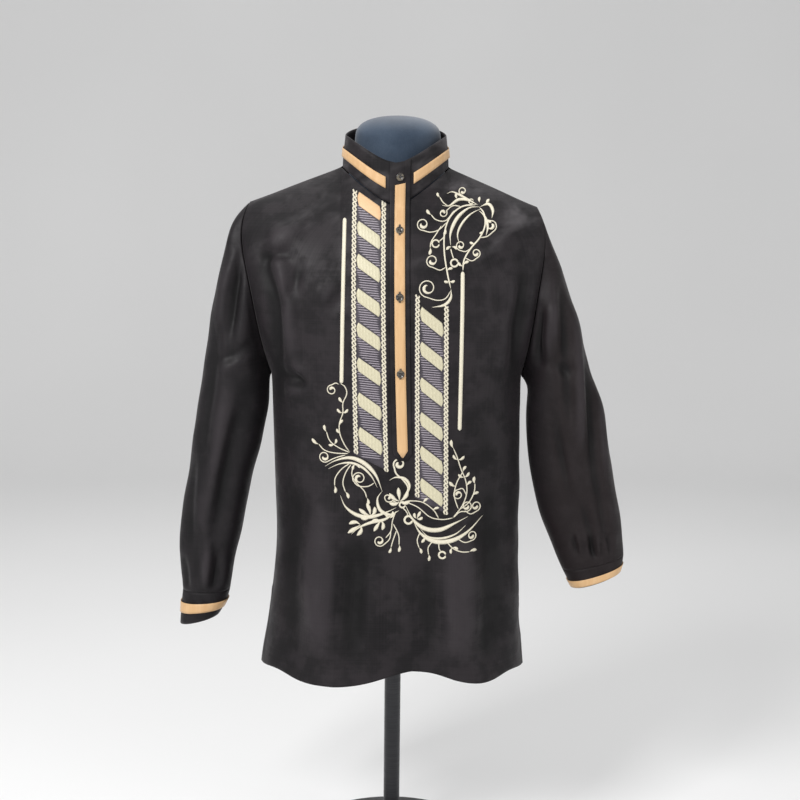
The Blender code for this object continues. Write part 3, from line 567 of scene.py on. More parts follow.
# Each crease: depth (a trough is below 0) and width in metres, then its route in millimetres across and up.
FRONT_CREASES = [
    (-0.006, 0.009, [(-196, 955), (-190, 900), (-176, 850), (-172, 770), (-170, 690)]),
    (0.004, 0.008, [(-178, 925), (-163, 885), (-154, 830), (-150, 770)]),
    (-0.0045, 0.006, [(-200, 912), (-175, 918), (-150, 921)]),
    (0.0035, 0.01, [(-188, 945), (-160, 950), (-132, 958)]),
    (-0.003, 0.007, [(-130, 915), (-148, 880), (-160, 835)]),
    (0.003, 0.007, [(-83, 885), (-95, 868), (-108, 850)]),
    (-0.0035, 0.006, [(-172, 752), (-150, 741), (-128, 735)]),
    (-0.003, 0.005, [(-160, 768), (-145, 748), (-126, 726)]),
    (0.003, 0.007, [(-165, 728), (-142, 724), (-118, 731)]),
    (-0.005, 0.01, [(182, 940), (186, 880), (180, 830), (176, 770), (178, 700)]),
    (0.004, 0.009, [(165, 905), (162, 860), (157, 810), (158, 750)]),
    (-0.003, 0.008, [(140, 890), (150, 850), (162, 805)]),
    (-0.005, 0.016, [(-150, 640), (-146, 560), (-151, 470), (-148, 370), (-150, 330)]),
    (0.006, 0.018, [(-110, 560), (-104, 480), (-108, 400), (-105, 330)]),
    (-0.005, 0.014, [(-60, 520), (-54, 460), (-57, 390), (-52, 320)]),
    (-0.003, 0.012, [(-12, 560), (-8, 480), (-12, 380), (-10, 330)]),
    (-0.005, 0.014, [(55, 500), (50, 440), (54, 380), (50, 330)]),
    (0.006, 0.02, [(105, 540), (98, 470), (102, 390), (98, 330)]),
    (-0.005, 0.015, [(148, 620), (143, 540), (148, 450), (143, 350), (145, 320)]),
    (-0.0025, 0.012, [(120, 700), (135, 650), (140, 600)]),
    (0.0025, 0.01, [(-120, 670), (-140, 620), (-135, 570)]),
]
BACK_CREASES = [
    (-0.005, 0.01, [(-190, 950), (-183, 890), (-176, 830), (-172, 760)]),
    (-0.005, 0.009, [(192, 945), (184, 880), (178, 820), (176, 740)]),
    (-0.0035, 0.008, [(-170, 905), (-130, 880), (-90, 872)]),
    (-0.003, 0.008, [(172, 900), (135, 872), (100, 866), (70, 870)]),
    (-0.0045, 0.014, [(-60, 990), (-50, 900), (-56, 780), (-48, 660)]),
    (-0.0045, 0.013, [(50, 980), (58, 880), (50, 760), (54, 620)]),
    (-0.005, 0.016, [(-120, 700), (-112, 580), (-118, 450), (-110, 330)]),
    (0.005, 0.018, [(-75, 620), (-70, 520), (-76, 420), (-70, 320)]),
    (-0.005, 0.014, [(-20, 560), (-26, 470), (-20, 380), (-24, 320)]),
    (-0.004, 0.013, [(40, 540), (34, 450), (40, 370), (36, 330)]),
    (-0.005, 0.016, [(95, 620), (88, 520), (94, 410), (88, 320)]),
    (-0.005, 0.015, [(145, 660), (138, 550), (143, 440), (138, 330)]),
]
SLEEVE_LEFT_CREASES = [
    (-0.005, 0.007, [(-215, 930), (-232, 880), (-240, 820), (-246, 760)]),
    (0.004, 0.008, [(-232, 930), (-252, 870), (-262, 800)]),
    (-0.0045, 0.008, [(-262, 820), (-272, 740), (-282, 660), (-288, 600)]),
    (-0.0035, 0.006, [(-212, 790), (-240, 770), (-268, 762)]),
    (0.0045, 0.009, [(-235, 740), (-252, 660), (-268, 580), (-280, 500)]),
    (-0.0045, 0.008, [(-228, 700), (-248, 620), (-262, 540), (-274, 460)]),
    (-0.004, 0.007, [(-300, 640), (-304, 570), (-306, 500), (-305, 430)]),
    (-0.0035, 0.006, [(-290, 520), (-294, 460), (-298, 415)]),
    (-0.0035, 0.005, [(-318, 470), (-314, 430), (-312, 412)]),
    (0.0035, 0.006, [(-272, 500), (-280, 450), (-284, 412)]),
    (-0.003, 0.005, [(-262, 470), (-268, 430), (-270, 414)]),
]
SLEEVE_LEFT_BACK = [
    (-0.005, 0.009, [(-225, 930), (-245, 850), (-256, 760), (-270, 680)]),
    (-0.004, 0.008, [(-235, 760), (-262, 690), (-280, 600), (-286, 520)]),
    (-0.0045, 0.009, [(-290, 700), (-300, 620), (-308, 530), (-308, 450)]),
    (-0.0035, 0.006, [(-270, 520), (-278, 460), (-286, 415)]),
    (-0.0035, 0.006, [(-305, 480), (-304, 440), (-302, 415)]),
]
SLEEVE_RIGHT_CREASES = [
    (-0.006, 0.006, [(212, 850), (208, 800), (214, 755)]),
    (0.004, 0.007, [(228, 900), (232, 840), (238, 780)]),
    (-0.0045, 0.008, [(238, 880), (248, 800), (254, 720), (256, 640)]),
    (0.0045, 0.008, [(258, 850), (268, 770), (274, 690), (276, 610)]),
    (-0.0045, 0.007, [(278, 790), (288, 710), (296, 630), (302, 560)]),
    (-0.0035, 0.006, [(232, 720), (240, 660), (252, 600), (268, 540)]),
    (0.0035, 0.007, [(298, 740), (306, 660), (314, 580)]),
    (-0.0035, 0.006, [(300, 600), (310, 540), (318, 490)]),
    (-0.0035, 0.005, [(276, 570), (290, 520), (302, 480)]),
    (-0.003, 0.005, [(286, 500), (298, 478), (306, 468)]),
    (-0.003, 0.006, [(222, 770), (246, 755), (268, 752)]),
    (-0.0034, 0.0032, [(266, 508), (270, 492), (275, 474)]),
    (-0.0026, 0.0028, [(280, 500), (283, 488), (286, 472)]),
    (-0.0036, 0.0034, [(293, 506), (296, 490), (299, 470)]),
    (-0.0028, 0.0028, [(309, 498), (311, 486), (313, 470)]),
    (-0.003, 0.0032, [(322, 508), (323, 492), (325, 474)]),
]
SLEEVE_RIGHT_BACK = [
    (-0.005, 0.009, [(222, 920), (240, 840), (252, 750), (262, 660)]),
    (-0.004, 0.008, [(240, 740), (262, 670), (280, 600), (296, 530)]),
    (-0.0045, 0.008, [(290, 760), (302, 680), (314, 600), (322, 530)]),
    (-0.0035, 0.006, [(270, 560), (286, 510), (300, 475)]),
]

front_cloth = add_shell("front", -1, PANEL_LEVELS, CLOTH, ORGANZA, FRONT_CREASES, BACK_CREASES,
                        ripple=0.0009, hem_z=HEM_BELOW)
back_cloth = add_shell("back", 1, PANEL_LEVELS, CLOTH, ORGANZA, FRONT_CREASES, BACK_CREASES,
                       ripple=0.0010, hem_z=HEM_BELOW)
sleeve_left_cloth = add_shell("sleeve_left", -1, PANEL_LEVELS, CLOTH, ORGANZA, SLEEVE_LEFT_CREASES,
                              SLEEVE_LEFT_BACK, ripple=0.0008, axis=LEFT_ARM, radius=ARM_RADIUS)
sleeve_right_cloth = add_shell("sleeve_right", -1, PANEL_LEVELS, CLOTH, ORGANZA, SLEEVE_RIGHT_CREASES,
                               SLEEVE_RIGHT_BACK, ripple=0.0008, axis=RIGHT_ARM, radius=ARM_RADIUS)


# ---------------------------------------------------------------- collar, cuffs, placket and ribbons

COLLAR_CREASES = [
    (-0.0012, 0.006, [(-52, 1010), (-46, 1030), (-48, 1060)]),
    (-0.001, 0.005, [(45, 1005), (40, 1030), (44, 1062)]),
]
CUFF_LEFT_CREASES = [
    (-0.0016, 0.004, [(-300, 405), (-301, 390), (-303, 378)]),
    (-0.0014, 0.004, [(-282, 404), (-285, 392), (-284, 382)]),
]
CUFF_RIGHT_CREASES = [
    (-0.0016, 0.004, [(292, 466), (294, 452), (297, 442)]),
    (-0.0014, 0.004, [(312, 462), (315, 450), (315, 442)]),
]

collar_cloth = add_shell("collar", -1, TRIM_LEVELS, DOUBLED, ORGANZA, COLLAR_CREASES,
                         ripple=0.0002, reach=TRIM_REACH, radius=NECK_RADIUS)
cuff_left_cloth = add_shell("cuff_left", -1, TRIM_LEVELS, DOUBLED, ORGANZA, CUFF_LEFT_CREASES,
                            ripple=0.0003, reach=TRIM_REACH, axis=LEFT_ARM, radius=WRIST_RADIUS)
cuff_right_cloth = add_shell("cuff_right", -1, TRIM_LEVELS, DOUBLED, ORGANZA, CUFF_RIGHT_CREASES,
                             ripple=0.0003, reach=TRIM_REACH, axis=RIGHT_ARM, radius=WRIST_RADIUS)
placket_cloth = add_shell("placket", -1, TRIM_LEVELS, DOUBLED, ORGANZA, radius=0.12, round_off=0.007)


def add_ribbon(node, **placing):
    return add_shell(node, -1, TRIM_LEVELS, RIBBON, GOLD, slot="ribbon", **placing)


collar_ribbon = add_ribbon("collar_trim", radius=NECK_RADIUS)
placket_ribbon = add_ribbon("placket_trim", radius=0.12, round_off=0.0065)
cuff_ribbon_left = add_ribbon("cuff_trim_left", axis=LEFT_ARM, radius=WRIST_RADIUS)
cuff_ribbon_right = add_ribbon("cuff_trim_right", axis=RIGHT_ARM, radius=WRIST_RADIUS)


# ---------------------------------------------------------------- thread laid on the cloth

def tree_of(shell):
    places = [vert.co for vert in shell.data.vertices]
    return BVHTree.FromPolygons(places, [face.vertices[:] for face in shell.data.polygons])


FRONT_TREE = tree_of(front_cloth)
AHEAD = Vector((0.0, 1.0, 0.0))


def on_shell(tree, x, z, lift):
    """The place on a shell seen at x, z from the front, lifted off it."""
    hit, normal, _, _ = tree.ray_cast(Vector((x, -1.0, z)), AHEAD)
    if hit is None:
        hit, normal, _, _ = tree.find_nearest(Vector((x, -0.1, z)))
    return hit + normal * lift


def evenly(route, count):
    """Count + 1 places at equal distances along a route, and its length."""
    runs = [(end - start).length for start, end in zip(route, route[1:])]
    total = sum(runs)
    places, number, passed = [], 0, 0.0
    for step in range(count + 1):
        goal = total * step / count
        while number < len(runs) - 1 and passed + runs[number] < goal:
            passed += runs[number]
            number += 1
        share = min(max((goal - passed) / max(runs[number], 1e-9), 0.0), 1.0)
        places.append(route[number].lerp(route[number + 1], share))
    return places, total


def add_stroke(bm, layer, route, half_width, height=0.0007, lift=0.0002, pace=0.0024, sides=6, tree=None,
               lifts=None, upright=False):
    """A closed, domed stroke of thread along a route; half_width is a number or a function of 0 to 1."""
    tree = tree or FRONT_TREE
    length = sum((end - start).length for start, end in zip(route, route[1:]))
    rings = max(5, round(length / pace))
    places, length = evenly(route, rings)
    grid = bmesh.ops.create_grid(bm, x_segments=rings, y_segments=sides, size=1.0)
    across = {}
    for vert in grid["verts"]:
        share = (vert.co.x + 1) / 2
        spot = min(round(share * rings), rings)
        angle = (vert.co.y + 1) * math.pi
        before, after = places[max(spot - 1, 0)], places[min(spot + 1, rings)]
        run = (after - before).normalized()
        side = Vector((0.0, 1.0)) if upright else Vector((-run.y, run.x))
        wide = half_width(share) if callable(half_width) else half_width
        if spot in (0, rings):
            wide = 0.0
        flat = places[spot] + side * (math.cos(angle) * wide)
        dome = height * (math.sin(angle) if math.sin(angle) > 0 else 0.3 * math.sin(angle))
        rise = dome * min(1.0, wide / 0.0008) + lift + (lifts(share) if lifts else 0.0)
        across[vert] = (math.cos(angle) * wide, share * length)
        vert.co = on_shell(tree, flat.x, flat.y, rise)
    for face in {face for vert in grid["verts"] for face in vert.link_faces}:
        for loop in face.loops:
            loop[layer].uv = across[loop.vert]


def add_work(name, strokes, material, node=None):
    """One piece of many strokes: (route, half_width, keywords)."""
    bm = bmesh.new()
    layer = bm.loops.layers.uv.new("stitch")
    for route, half_width, keywords in strokes:
        add_stroke(bm, layer, route, half_width, **keywords)
    bmesh.ops.remove_doubles(bm, verts=bm.verts, dist=0.000001)
    bmesh.ops.recalc_face_normals(bm, faces=bm.faces)
    piece = finished(bm, name, material)
    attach(piece, "root")
    if node:
        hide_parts(node)
    return piece


# ---------------------------------------------------------------- the two bands beside the placket

def edge_x(edge, z):
    """Where a long edge runs at that height: edges bend off a little as they near the chest's middle."""
    top_x, low_x = edge
    return top_x + (low_x - top_x) * min(max((1.0 - z) / 0.4, 0.0), 1.0) ** 2


BRAID = 0.008
BRAID_PITCH = 0.0065
BRAID_SWING = 0.0025
BRAID_STRAND = 0.00135           # half a strand's width
BRAID_RISE = 0.00045             # how far strands rise and sink where they cross
BRAID_SLANT = 0.55
LEFT_BAND = {
    "left": (-0.0648, -0.0578),      # x of a long edge, at the top and at the bottom
    "right": (-0.015, -0.007),
    "low": (0.637, 0.612),           # height of an end, at the left and at the right edge
    "high": (1.0125, 1.0005),
    "slope": 0.68,                   # how steeply the bars fall
    "stripes": (1.012, 0.971, 0.925, 0.877, 0.829, 0.779, 0.729, 0.679),
}
RIGHT_BAND = {
    "left": (0.026, 0.0293),
    "right": (0.075, 0.0783),
    "low": (0.575, 0.549),
    "high": (0.866, 0.852),
    "slope": 0.78,
    "stripes": (0.852, 0.803, 0.752, 0.702, 0.653, 0.606),
}
BAND_WIDTH = 0.05
BARS_FROM, BARS_TO = 0.16, 0.84  # the bars' share of a band's width
LAST_GAP = 0.05                  # from the lowest bar's top to the lowest rows
BACKING_LIFT = 0.0005
BACKING_WALL = 0.0006
STRIPE = 0.0205
GREY_PITCH = 0.0033
GREY_TILT = 0.09
BAND_INFILL = 0.035
SHORTEST_ROW = 0.002


def between(ends, share):
    return ends[0] + (ends[1] - ends[0]) * share


def across_band(band, share, z):
    return edge_x(band["left"], z) * (1 - share) + edge_x(band["right"], z) * share


def braid_strokes(band, share, low, high):
    """Two strands that twist round each other along one edge of a band."""
    turns = (high - low) / (2 * BRAID_PITCH)
    centre = 0.5 * BRAID
    steps = round(turns * 10)
    strands = []
    for phase in (0.0, math.pi):
        route = []
        for step in range(steps + 1):
            z = low + (high - low) * step / steps
            swing = 2 * math.pi * turns * step / steps + phase
            middle = across_band(band, share, z) + (centre if share == 0 else -centre)
            across = BRAID_SWING * math.sin(swing)
            route.append(Vector((middle + across, z - BRAID_SLANT * across)))
        strands.append((route, BRAID_STRAND, {
            "height": 0.0011, "lift": 0.0008, "pace": 0.0016, "sides": 5,
            "lifts": lambda share, phase=phase: BRAID_RISE * math.cos(2 * math.pi * turns * share + phase)}))
    return strands


def stripe_strokes(band, level, height):
    """A slanting bar of satin stitch between the braids."""
    route = []
    for step in range(5):
        share = step / 4
        z = level - height / 2
        left = across_band(band, 0, z) + BRAID * 0.85
        right = across_band(band, 1, z) - BRAID * 0.85
        x = left + (right - left) * share
        route.append(Vector((x, z - band["slope"] * (x - left))))
    return [(route, height / 2, {"height": 0.0009, "lift": 0.0004, "pace": 0.004, "sides": 12,
                                 "upright": True})]


def grey_strokes(band, top, bottom):
    """Fine, nearly level lines in the slanting gap between a bar and the next one below."""
    strokes = []
    free = band["slope"] - GREY_TILT
    rows = int((top - bottom + free * BAND_INFILL) / GREY_PITCH)
    for row in range(rows):
        z = top - (row + 0.5) * GREY_PITCH
        left = across_band(band, 0, z) + BRAID * 0.9
        right = across_band(band, 1, z) - BRAID * 0.9
        begin = left + max(0.0, (bottom - z) / free)
        end = min(right, left + (top - z) / free)
        if end - begin > SHORTEST_ROW:
            ends = [Vector((x, z - GREY_TILT * (x - left))) for x in (begin, end)]
            strokes.append((ends, 0.00105, {"height": 0.0005, "lift": 0.0003, "pace": 0.007, "sides": 4}))
    return strokes


def clipped(band, strokes):
    """Strokes that stay above the band's slanting lower end."""
    kept = []
    for route, half_width, keywords in strokes:
        inside = [place for place in route if place.y > end_of_band(band, place.x, place.y)]
        if len(inside) > 1:
            kept.append((inside, half_width, keywords))
    return kept


def end_of_band(band, x, z):
    left, right = across_band(band, 0, z), across_band(band, 1, z)
    share = min(max((x - left) / (right - left), 0.0), 1.0)
    return between(band["low"], share)


def add_band(side, band, first_material):
    """Backing, braids, bars and grey lines of one band."""
    node = f"band_{side}"
    backing = bmesh.new()
    layer = backing.loops.layers.uv.new("cloth")
    grid = bmesh.ops.create_grid(backing, x_segments=12, y_segments=90, size=1.0)
    for vert in grid["verts"]:
        share, up = (vert.co.x + 1) / 2, (vert.co.y + 1) / 2
        low, high = between(band["low"], share), between(band["high"], share)
        if BARS_FROM < share < BARS_TO:
            high = band["stripes"][0] - band["slope"] * share * BAND_WIDTH
        z = low + (high - low) * up
        x = across_band(band, share, z)
        vert.co = on_shell(FRONT_TREE, x, z, BACKING_LIFT)
    for face in backing.faces:
        for loop in face.loops:
            loop[layer].uv = (loop.vert.co.x, loop.vert.co.z)
    bmesh.ops.recalc_face_normals(backing, faces=backing.faces)
    piece = finished(backing, f"{node}_backing", LINING)
    if sum(face.normal.y for face in piece.data.polygons) > 0:
        piece.data.flip_normals()
    wall = piece.modifiers.new("wall", "SOLIDIFY")
    wall.thickness = BACKING_WALL
    wall.offset = -1.0
    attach(piece, "root")
    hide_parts(node)

    braids = braid_strokes(band, 0, band["low"][0], band["high"][0])
    braids += braid_strokes(band, 1, band["low"][1], band["high"][1])
    add_work(f"{node}_braids", braids, CREAM, node)
    levels = band["stripes"]
    bars = [stroke for level in levels[1:] for stroke in stripe_strokes(band, level, STRIPE)]
    add_work(f"{node}_bars", bars, SATIN, node)
    add_work(f"{node}_top_bar", stripe_strokes(band, levels[0], STRIPE), first_material, node)
    rows = []
    for level, below in zip(levels, list(levels[1:]) + [levels[-1] - LAST_GAP]):
        rows += grey_strokes(band, level - STRIPE, below)
    add_work(f"{node}_rows", clipped(band, rows), GREY, node)
    return piece


backings = {"left": add_band("left", LEFT_BAND, GOLD_THREAD), "right": add_band("right", RIGHT_BAND, SATIN)}


# ---------------------------------------------------------------- raised cream lines

LINE_HALF_WIDTH = 0.0029
# x at the top and at the bottom, then the heights of the lower and the upper end
LINE_LEFT = ((-0.075, -0.079), 0.738, 0.973)
LINE_RIGHT = ((0.0945, 0.0923), 0.671, 0.899)


def blunt(half_width, length, round_off=0.003):
    """A width that is full almost to the ends, which are rounded."""
    def width(share):
        from_end = min(share, 1 - share) * length
        return half_width * math.sqrt(min(1.0, max(0.05, from_end / round_off)))
    return width


for side, (edge, low, high) in (("left", LINE_LEFT), ("right", LINE_RIGHT)):
    heights = [low + (high - low) * step / 30 for step in range(31)]
    route = [Vector((edge_x(edge, z), z)) for z in heights]
    keywords = {"height": 0.0014, "lift": 0.0002, "sides": 8}
    cord = (route, blunt(LINE_HALF_WIDTH, high - low), keywords)
    add_work(f"line_{side}_cord", [cord], CREAM, f"line_{side}")


# ---------------------------------------------------------------- scrolls

FINE = 0.00085
MEDIUM = 0.0012


def tapered(half_width, full_from=0.25, full_to=0.75, least=0.0004):
    """Thin at both ends and full between."""
    def width(share):
        grow = ease(share / full_from) if share < full_from else 1.0
        fade = ease((1 - share) / (1 - full_to)) if share > full_to else 1.0
        return least + (half_width - least) * grow * fade
    return width


def stem(route, half_width=FINE):
    return (smooth_path(in_metres(route), 8), tapered(half_width, 0.08, 0.92), {"height": 0.0007})


def sweep(route, half_width=0.0024, full_from=0.45, full_to=0.55):
    width = tapered(half_width, full_from, full_to, 0.0003)
    return (smooth_path(in_metres(route), 10), width, {"height": 0.0011})


def drop(base, heading, length=0.009, half_width=0.0021, bend=0.12):
    """A bud: a pointed start, full past its middle, then a short point."""
    start = Vector(base) * MM
    turn = math.radians(heading)
    run = Vector((math.cos(turn), math.sin(turn))) * length
    side = Vector((-run.y, run.x)) * bend
    route = smooth_path([start, start + run * 0.35 + side, start + run * 0.7 + side * 0.8, start + run], 5)
    return (route, lambda share: 0.0003 + half_width * math.sin(math.pi * share ** 1.5),
            {"height": 0.0011, "pace": 0.0012})


def pair(base, heading, length=0.008, spread=38):
    """Two buds that part like a V."""
    return [drop(base, heading + side * spread, length, 0.0018, side * 0.16) for side in (1, -1)]


def ring(centre, radius, half_width=0.0011):
    x, z = (number * MM for number in centre)
    route = [Vector((x + radius * math.cos(turn), z + radius * math.sin(turn)))
             for turn in (2 * math.pi * step / 24 for step in range(25))]
    return (route, half_width, {"height": 0.0008})


def curl(route, centre, radius, way, turns=1.35, half_width=FINE, bulb=0.0019):
    """A stem that winds into a spiral with a thick inner end; way is 1 for anticlockwise."""
    middle = Vector(centre) * MM
    lead = smooth_path(in_metres(route), 8)
    arrive = lead[-1] - middle
    begin = math.atan2(arrive.y, arrive.x)
    first = max(arrive.length, radius)
    winding = []
    steps = round(turns * 22)
    for step in range(1, steps + 1):
        share = step / steps
        reach = first + (radius - first) * min(1.0, share * 4)
        reach *= 1 - 0.72 * share ** 1.15
        turn = begin + way * 2 * math.pi * turns * share
        winding.append(middle + Vector((math.cos(turn), math.sin(turn))) * reach)

    def width(share):
        thick = ease((share - 0.80) / 0.12) * ease((1 - share) / 0.06)
        return tapered(half_width, 0.08, 0.99)(share) + bulb * 0.75 * thick
    return (lead + winding, width, {"height": 0.0009, "pace": 0.0018})


def fan(base, heading, count, length, spread, half_width=0.0023):
    """Drops that open from one point, the middle ones longer."""
    drops = []
    for number in range(count):
        share = number / (count - 1) * 2 - 1
        drops.append(drop(base, heading + share * spread, length * (1 - 0.25 * share * share), half_width,
                          0.2 * share))
    return drops


# Places are in millimetres across and up, lengths and widths in metres, headings in degrees.
UPPER_SCROLLS = [
    # stems and sweeps that fall from the shoulder tuft
    sweep([(121, 990), (104, 988), (87, 974), (77, 953), (77, 934)], 0.0026, 0.5, 0.6),
    sweep([(123, 988), (106, 979), (93, 965), (87, 950), (90, 936)], 0.0017, 0.5, 0.6),
    stem([(116, 993), (94, 990), (77, 976), (68.5, 954), (68, 925), (72.5, 896), (77.5, 874)], MEDIUM),
    sweep([(77.5, 875), (77.5, 862), (68.5, 852), (50, 848.5)], 0.0022, 0.4, 0.5),
    stem([(94.5, 899), (96.5, 915), (106, 931), (119, 946), (127, 963), (126, 980), (119, 990)], MEDIUM),
    sweep([(118, 992), (104, 999), (89, 1000), (75, 991), (64, 992)], 0.0022, 0.45, 0.55),
    sweep([(112, 996), (94, 1005), (80, 1011), (71, 1008)], 0.0016, 0.4, 0.5),
    sweep([(120, 990), (133, 994), (139, 985), (137, 973)], 0.0024, 0.45, 0.6),
    sweep([(118, 985), (127, 976), (131, 962), (128, 948)], 0.002, 0.45, 0.6),
    # curls
    curl([(77.5, 872), (70, 861), (58, 858.5), (43.5, 862.5)], (44.5, 875.5), 0.0125, -1, 1.5),
    curl([(70.5, 905), (62, 900.5), (51, 904.5)], (50.8, 913.5), 0.0088, -1, 1.35),
    curl([(72, 968), (60, 957), (48, 953.5), (37, 956)], (37.2, 964.5), 0.0088, -1, 1.35),
    curl([(92.5, 990), (80.5, 991), (71, 984)], (66, 980.5), 0.0058, -1, 1.2),
    curl([(106, 931), (98.5, 926.5), (90.5, 928)], (91.5, 935), 0.0066, -1, 1.3),
    curl([(119, 946), (130, 948), (139, 955)], (135.5, 963.5), 0.0084, 1, 1.4),
    curl([(101, 1000), (94.5, 1006)], (95.5, 1012.5), 0.0062, -1, 1.25),
    curl([(97.5, 918), (107.5, 913.5), (115.5, 918)], (113.5, 924.5), 0.0062, 1, 1.3),
    ring((55.5, 937.5), 0.0052, 0.0012), ring((82.5, 910.5), 0.0052, 0.0014),
    ring((107.5, 997.5), 0.0035, 0.0009),
    stem([(68.5, 948), (64, 943.5), (60, 940.5)]),
    stem([(77, 931), (79, 923), (81.5, 916)]),
    stem([(64, 963), (55.5, 950), (49, 940), (47.5, 931)]),
    drop((47.5, 932), -98, 0.0105, 0.0021),
    stem([(83, 985), (70, 970), (56, 971), (48, 979)]),
    drop((49, 978), 130, 0.01, 0.0021),
    stem([(74, 990), (66, 996), (61, 1004)]), drop((61.3, 1003), 118, 0.008, 0.0018),
    drop((70, 958), -112, 0.009, 0.002), drop((72, 900), 20, 0.009, 0.0018),
    drop((126, 970), -15, 0.011, 0.002), drop((125.5, 956), -150, 0.008, 0.0017),
    drop((94.5, 906), 140, 0.0095, 0.0019), drop((95.5, 908), 30, 0.0095, 0.0019),
    drop((130, 993), 60, 0.0095, 0.002), drop((120, 996), 85, 0.0085, 0.0018),
    *pair((78.5, 933), -88, 0.009, 62), *pair((75.5, 885), 92, 0.008, 84),
    drop((87, 1001), 100, 0.008, 0.0018), drop((112, 938), 165, 0.008, 0.0017),
]
LEFT_VINE = [
    curl([(-80, 737), (-85, 739), (-90.5, 736)], (-90.5, 728.5), 0.0072, 1, 1.3),
    stem([(-79, 738.5), (-72, 734.5), (-69, 724), (-74.5, 710), (-74.5, 696),
          (-79.5, 680), (-78.5, 665), (-72, 650), (-64, 639)]),
    drop((-74, 711), 128, 0.01, 0.002), *pair((-75, 696), 90, 0.01, 52),
    drop((-79, 678), 58, 0.0095, 0.0019), drop((-78.5, 666), 125, 0.0085, 0.0018),
    stem([(-64, 638.5), (-80, 645), (-93, 654), (-98.5, 668)]),
    drop((-98, 667), 108, 0.011, 0.002), *pair((-87, 650), 130, 0.0085, 60),
    stem([(-66, 637), (-86, 637), (-101, 640), (-110, 649)]),
    drop((-109.5, 648), 140, 0.013, 0.0022),
    curl([(-70, 635), (-85, 630), (-98, 623)], (-101, 630.5), 0.0082, -1, 1.35),
]
LOWER_SCROLLS = [
    # the long double leaf over the left band's end
    sweep([(-101, 616), (-85, 626), (-64, 631), (-44, 624), (-27, 607), (-17, 583)], 0.0033, 0.55, 0.6),
    sweep([(-96, 613), (-79, 621.5), (-62, 623.5), (-46, 617.5), (-33, 605),
           (-24, 588)], 0.0019, 0.5, 0.6),
    sweep([(-17, 584), (-24, 572), (-20, 556), (-6, 549), (8, 556)], 0.0026, 0.5, 0.6),
    curl([(-28, 596), (-38, 590), (-52, 590.5), (-59.5, 598)], (-50.5, 601.5), 0.0092, -1, 1.45),
    stem([(-64, 623), (-76, 614), (-85, 601), (-86, 588)]),
    drop((-86, 589), -88, 0.011, 0.0021),
    stem([(-62, 622), (-70, 609), (-74, 594), (-70, 580)]),
    drop((-70.3, 581), -66, 0.011, 0.0021),
    stem([(-59, 621.5), (-61, 606), (-54, 594.5), (-43, 583), (-39, 572)]),
    drop((-39, 573), -82, 0.0105, 0.002), *pair((-56.5, 621), -72, 0.0085, 40),
    # the curl under the placket
    curl([(14, 575), (20, 588), (13, 600), (3, 609), (-0.5, 619)], (7, 623.5), 0.008, -1, 1.3, 0.0013),
    sweep([(19, 578), (22, 592), (15, 602), (2, 604), (-8, 599)], 0.0022, 0.4, 0.5),
    # the flower
    *fan((8, 569), 96, 5, 0.0205, 92, 0.0027), ring((12, 564), 0.0042, 0.0014),
    curl([(6, 566), (-2, 570)], (-9, 574.5), 0.0058, -1, 1.2),
    # fans on the left
    *fan((-34, 547), 128, 4, 0.02, 62, 0.0027), *fan((-48, 533), 215, 3, 0.023, 36, 0.0027),
    *fan((-19, 540), 238, 3, 0.019, 40, 0.0025), *fan((-6, 544), 92, 2, 0.015, 24, 0.0022),
    sweep([(-78, 576), (-70, 559), (-55, 548), (-37, 545), (-17, 550), (4, 560)], 0.003, 0.45, 0.55),
    sweep([(-62, 518), (-50, 529), (-33, 537), (-13, 542), (5, 555)], 0.0024, 0.5, 0.6),
    stem([(3, 555), (-2, 540), (-4, 525), (-12, 514)]),
    curl([(-4, 526), (-6, 513), (-15, 504)], (-20.5, 510.5), 0.0078, -1, 1.35),
    stem([(-1, 536), (7, 520), (8, 504)]), drop((8, 505), -96, 0.0105, 0.002),
    stem([(4, 526), (-1, 511), (-4, 500)]), drop((-3.8, 501), -112, 0.009, 0.0019),
    ring((21, 542), 0.0056, 0.0017), stem([(12, 560), (18, 554), (20.5, 547.5)]),
    # the two long leaves to the right
    sweep([(16, 564), (28, 542), (45, 529), (66, 527), (88, 536), (108, 545)], 0.0034, 0.45, 0.55),
    sweep([(26, 544), (39, 522), (59, 510), (83, 511), (107, 523), (130, 544)], 0.0034, 0.4, 0.5),
    sweep([(38, 529), (50, 517), (69, 514.5), (89, 520.5), (105, 533)], 0.0017, 0.4, 0.5),
    stem([(18, 568), (35, 560), (52, 546), (70, 542), (86, 544)]),
    stem([(19, 570), (40, 568), (57, 556), (65, 543)]),
    drop((42, 566), 48, 0.0105, 0.002), drop((56, 556), 20, 0.01, 0.0019),
    curl([(86, 544), (95, 552), (105, 552)], (105, 560), 0.0078, 1, 1.35),
    *fan((33, 544), 62, 3, 0.012, 48, 0.002),
    stem([(57, 511), (50, 501), (51, 489)]), drop((51, 490), -92, 0.01, 0.002),
    stem([(65, 509), (66, 499), (69, 495)]), ring((70.5, 490), 0.005, 0.0015),
    stem([(76, 510), (86, 500), (98, 495), (111, 494)]), drop((110, 494), 4, 0.011, 0.0021),
    *pair((85, 501), -60, 0.009, 40),
    curl([(92, 514), (103, 508), (115, 510)], (113, 517), 0.0068, 1, 1.3),
    stem([(38, 524), (34, 512), (37, 500)]), drop((36.8, 501), -70, 0.01, 0.002),
    drop((45, 518), -118, 0.011, 0.002),
]
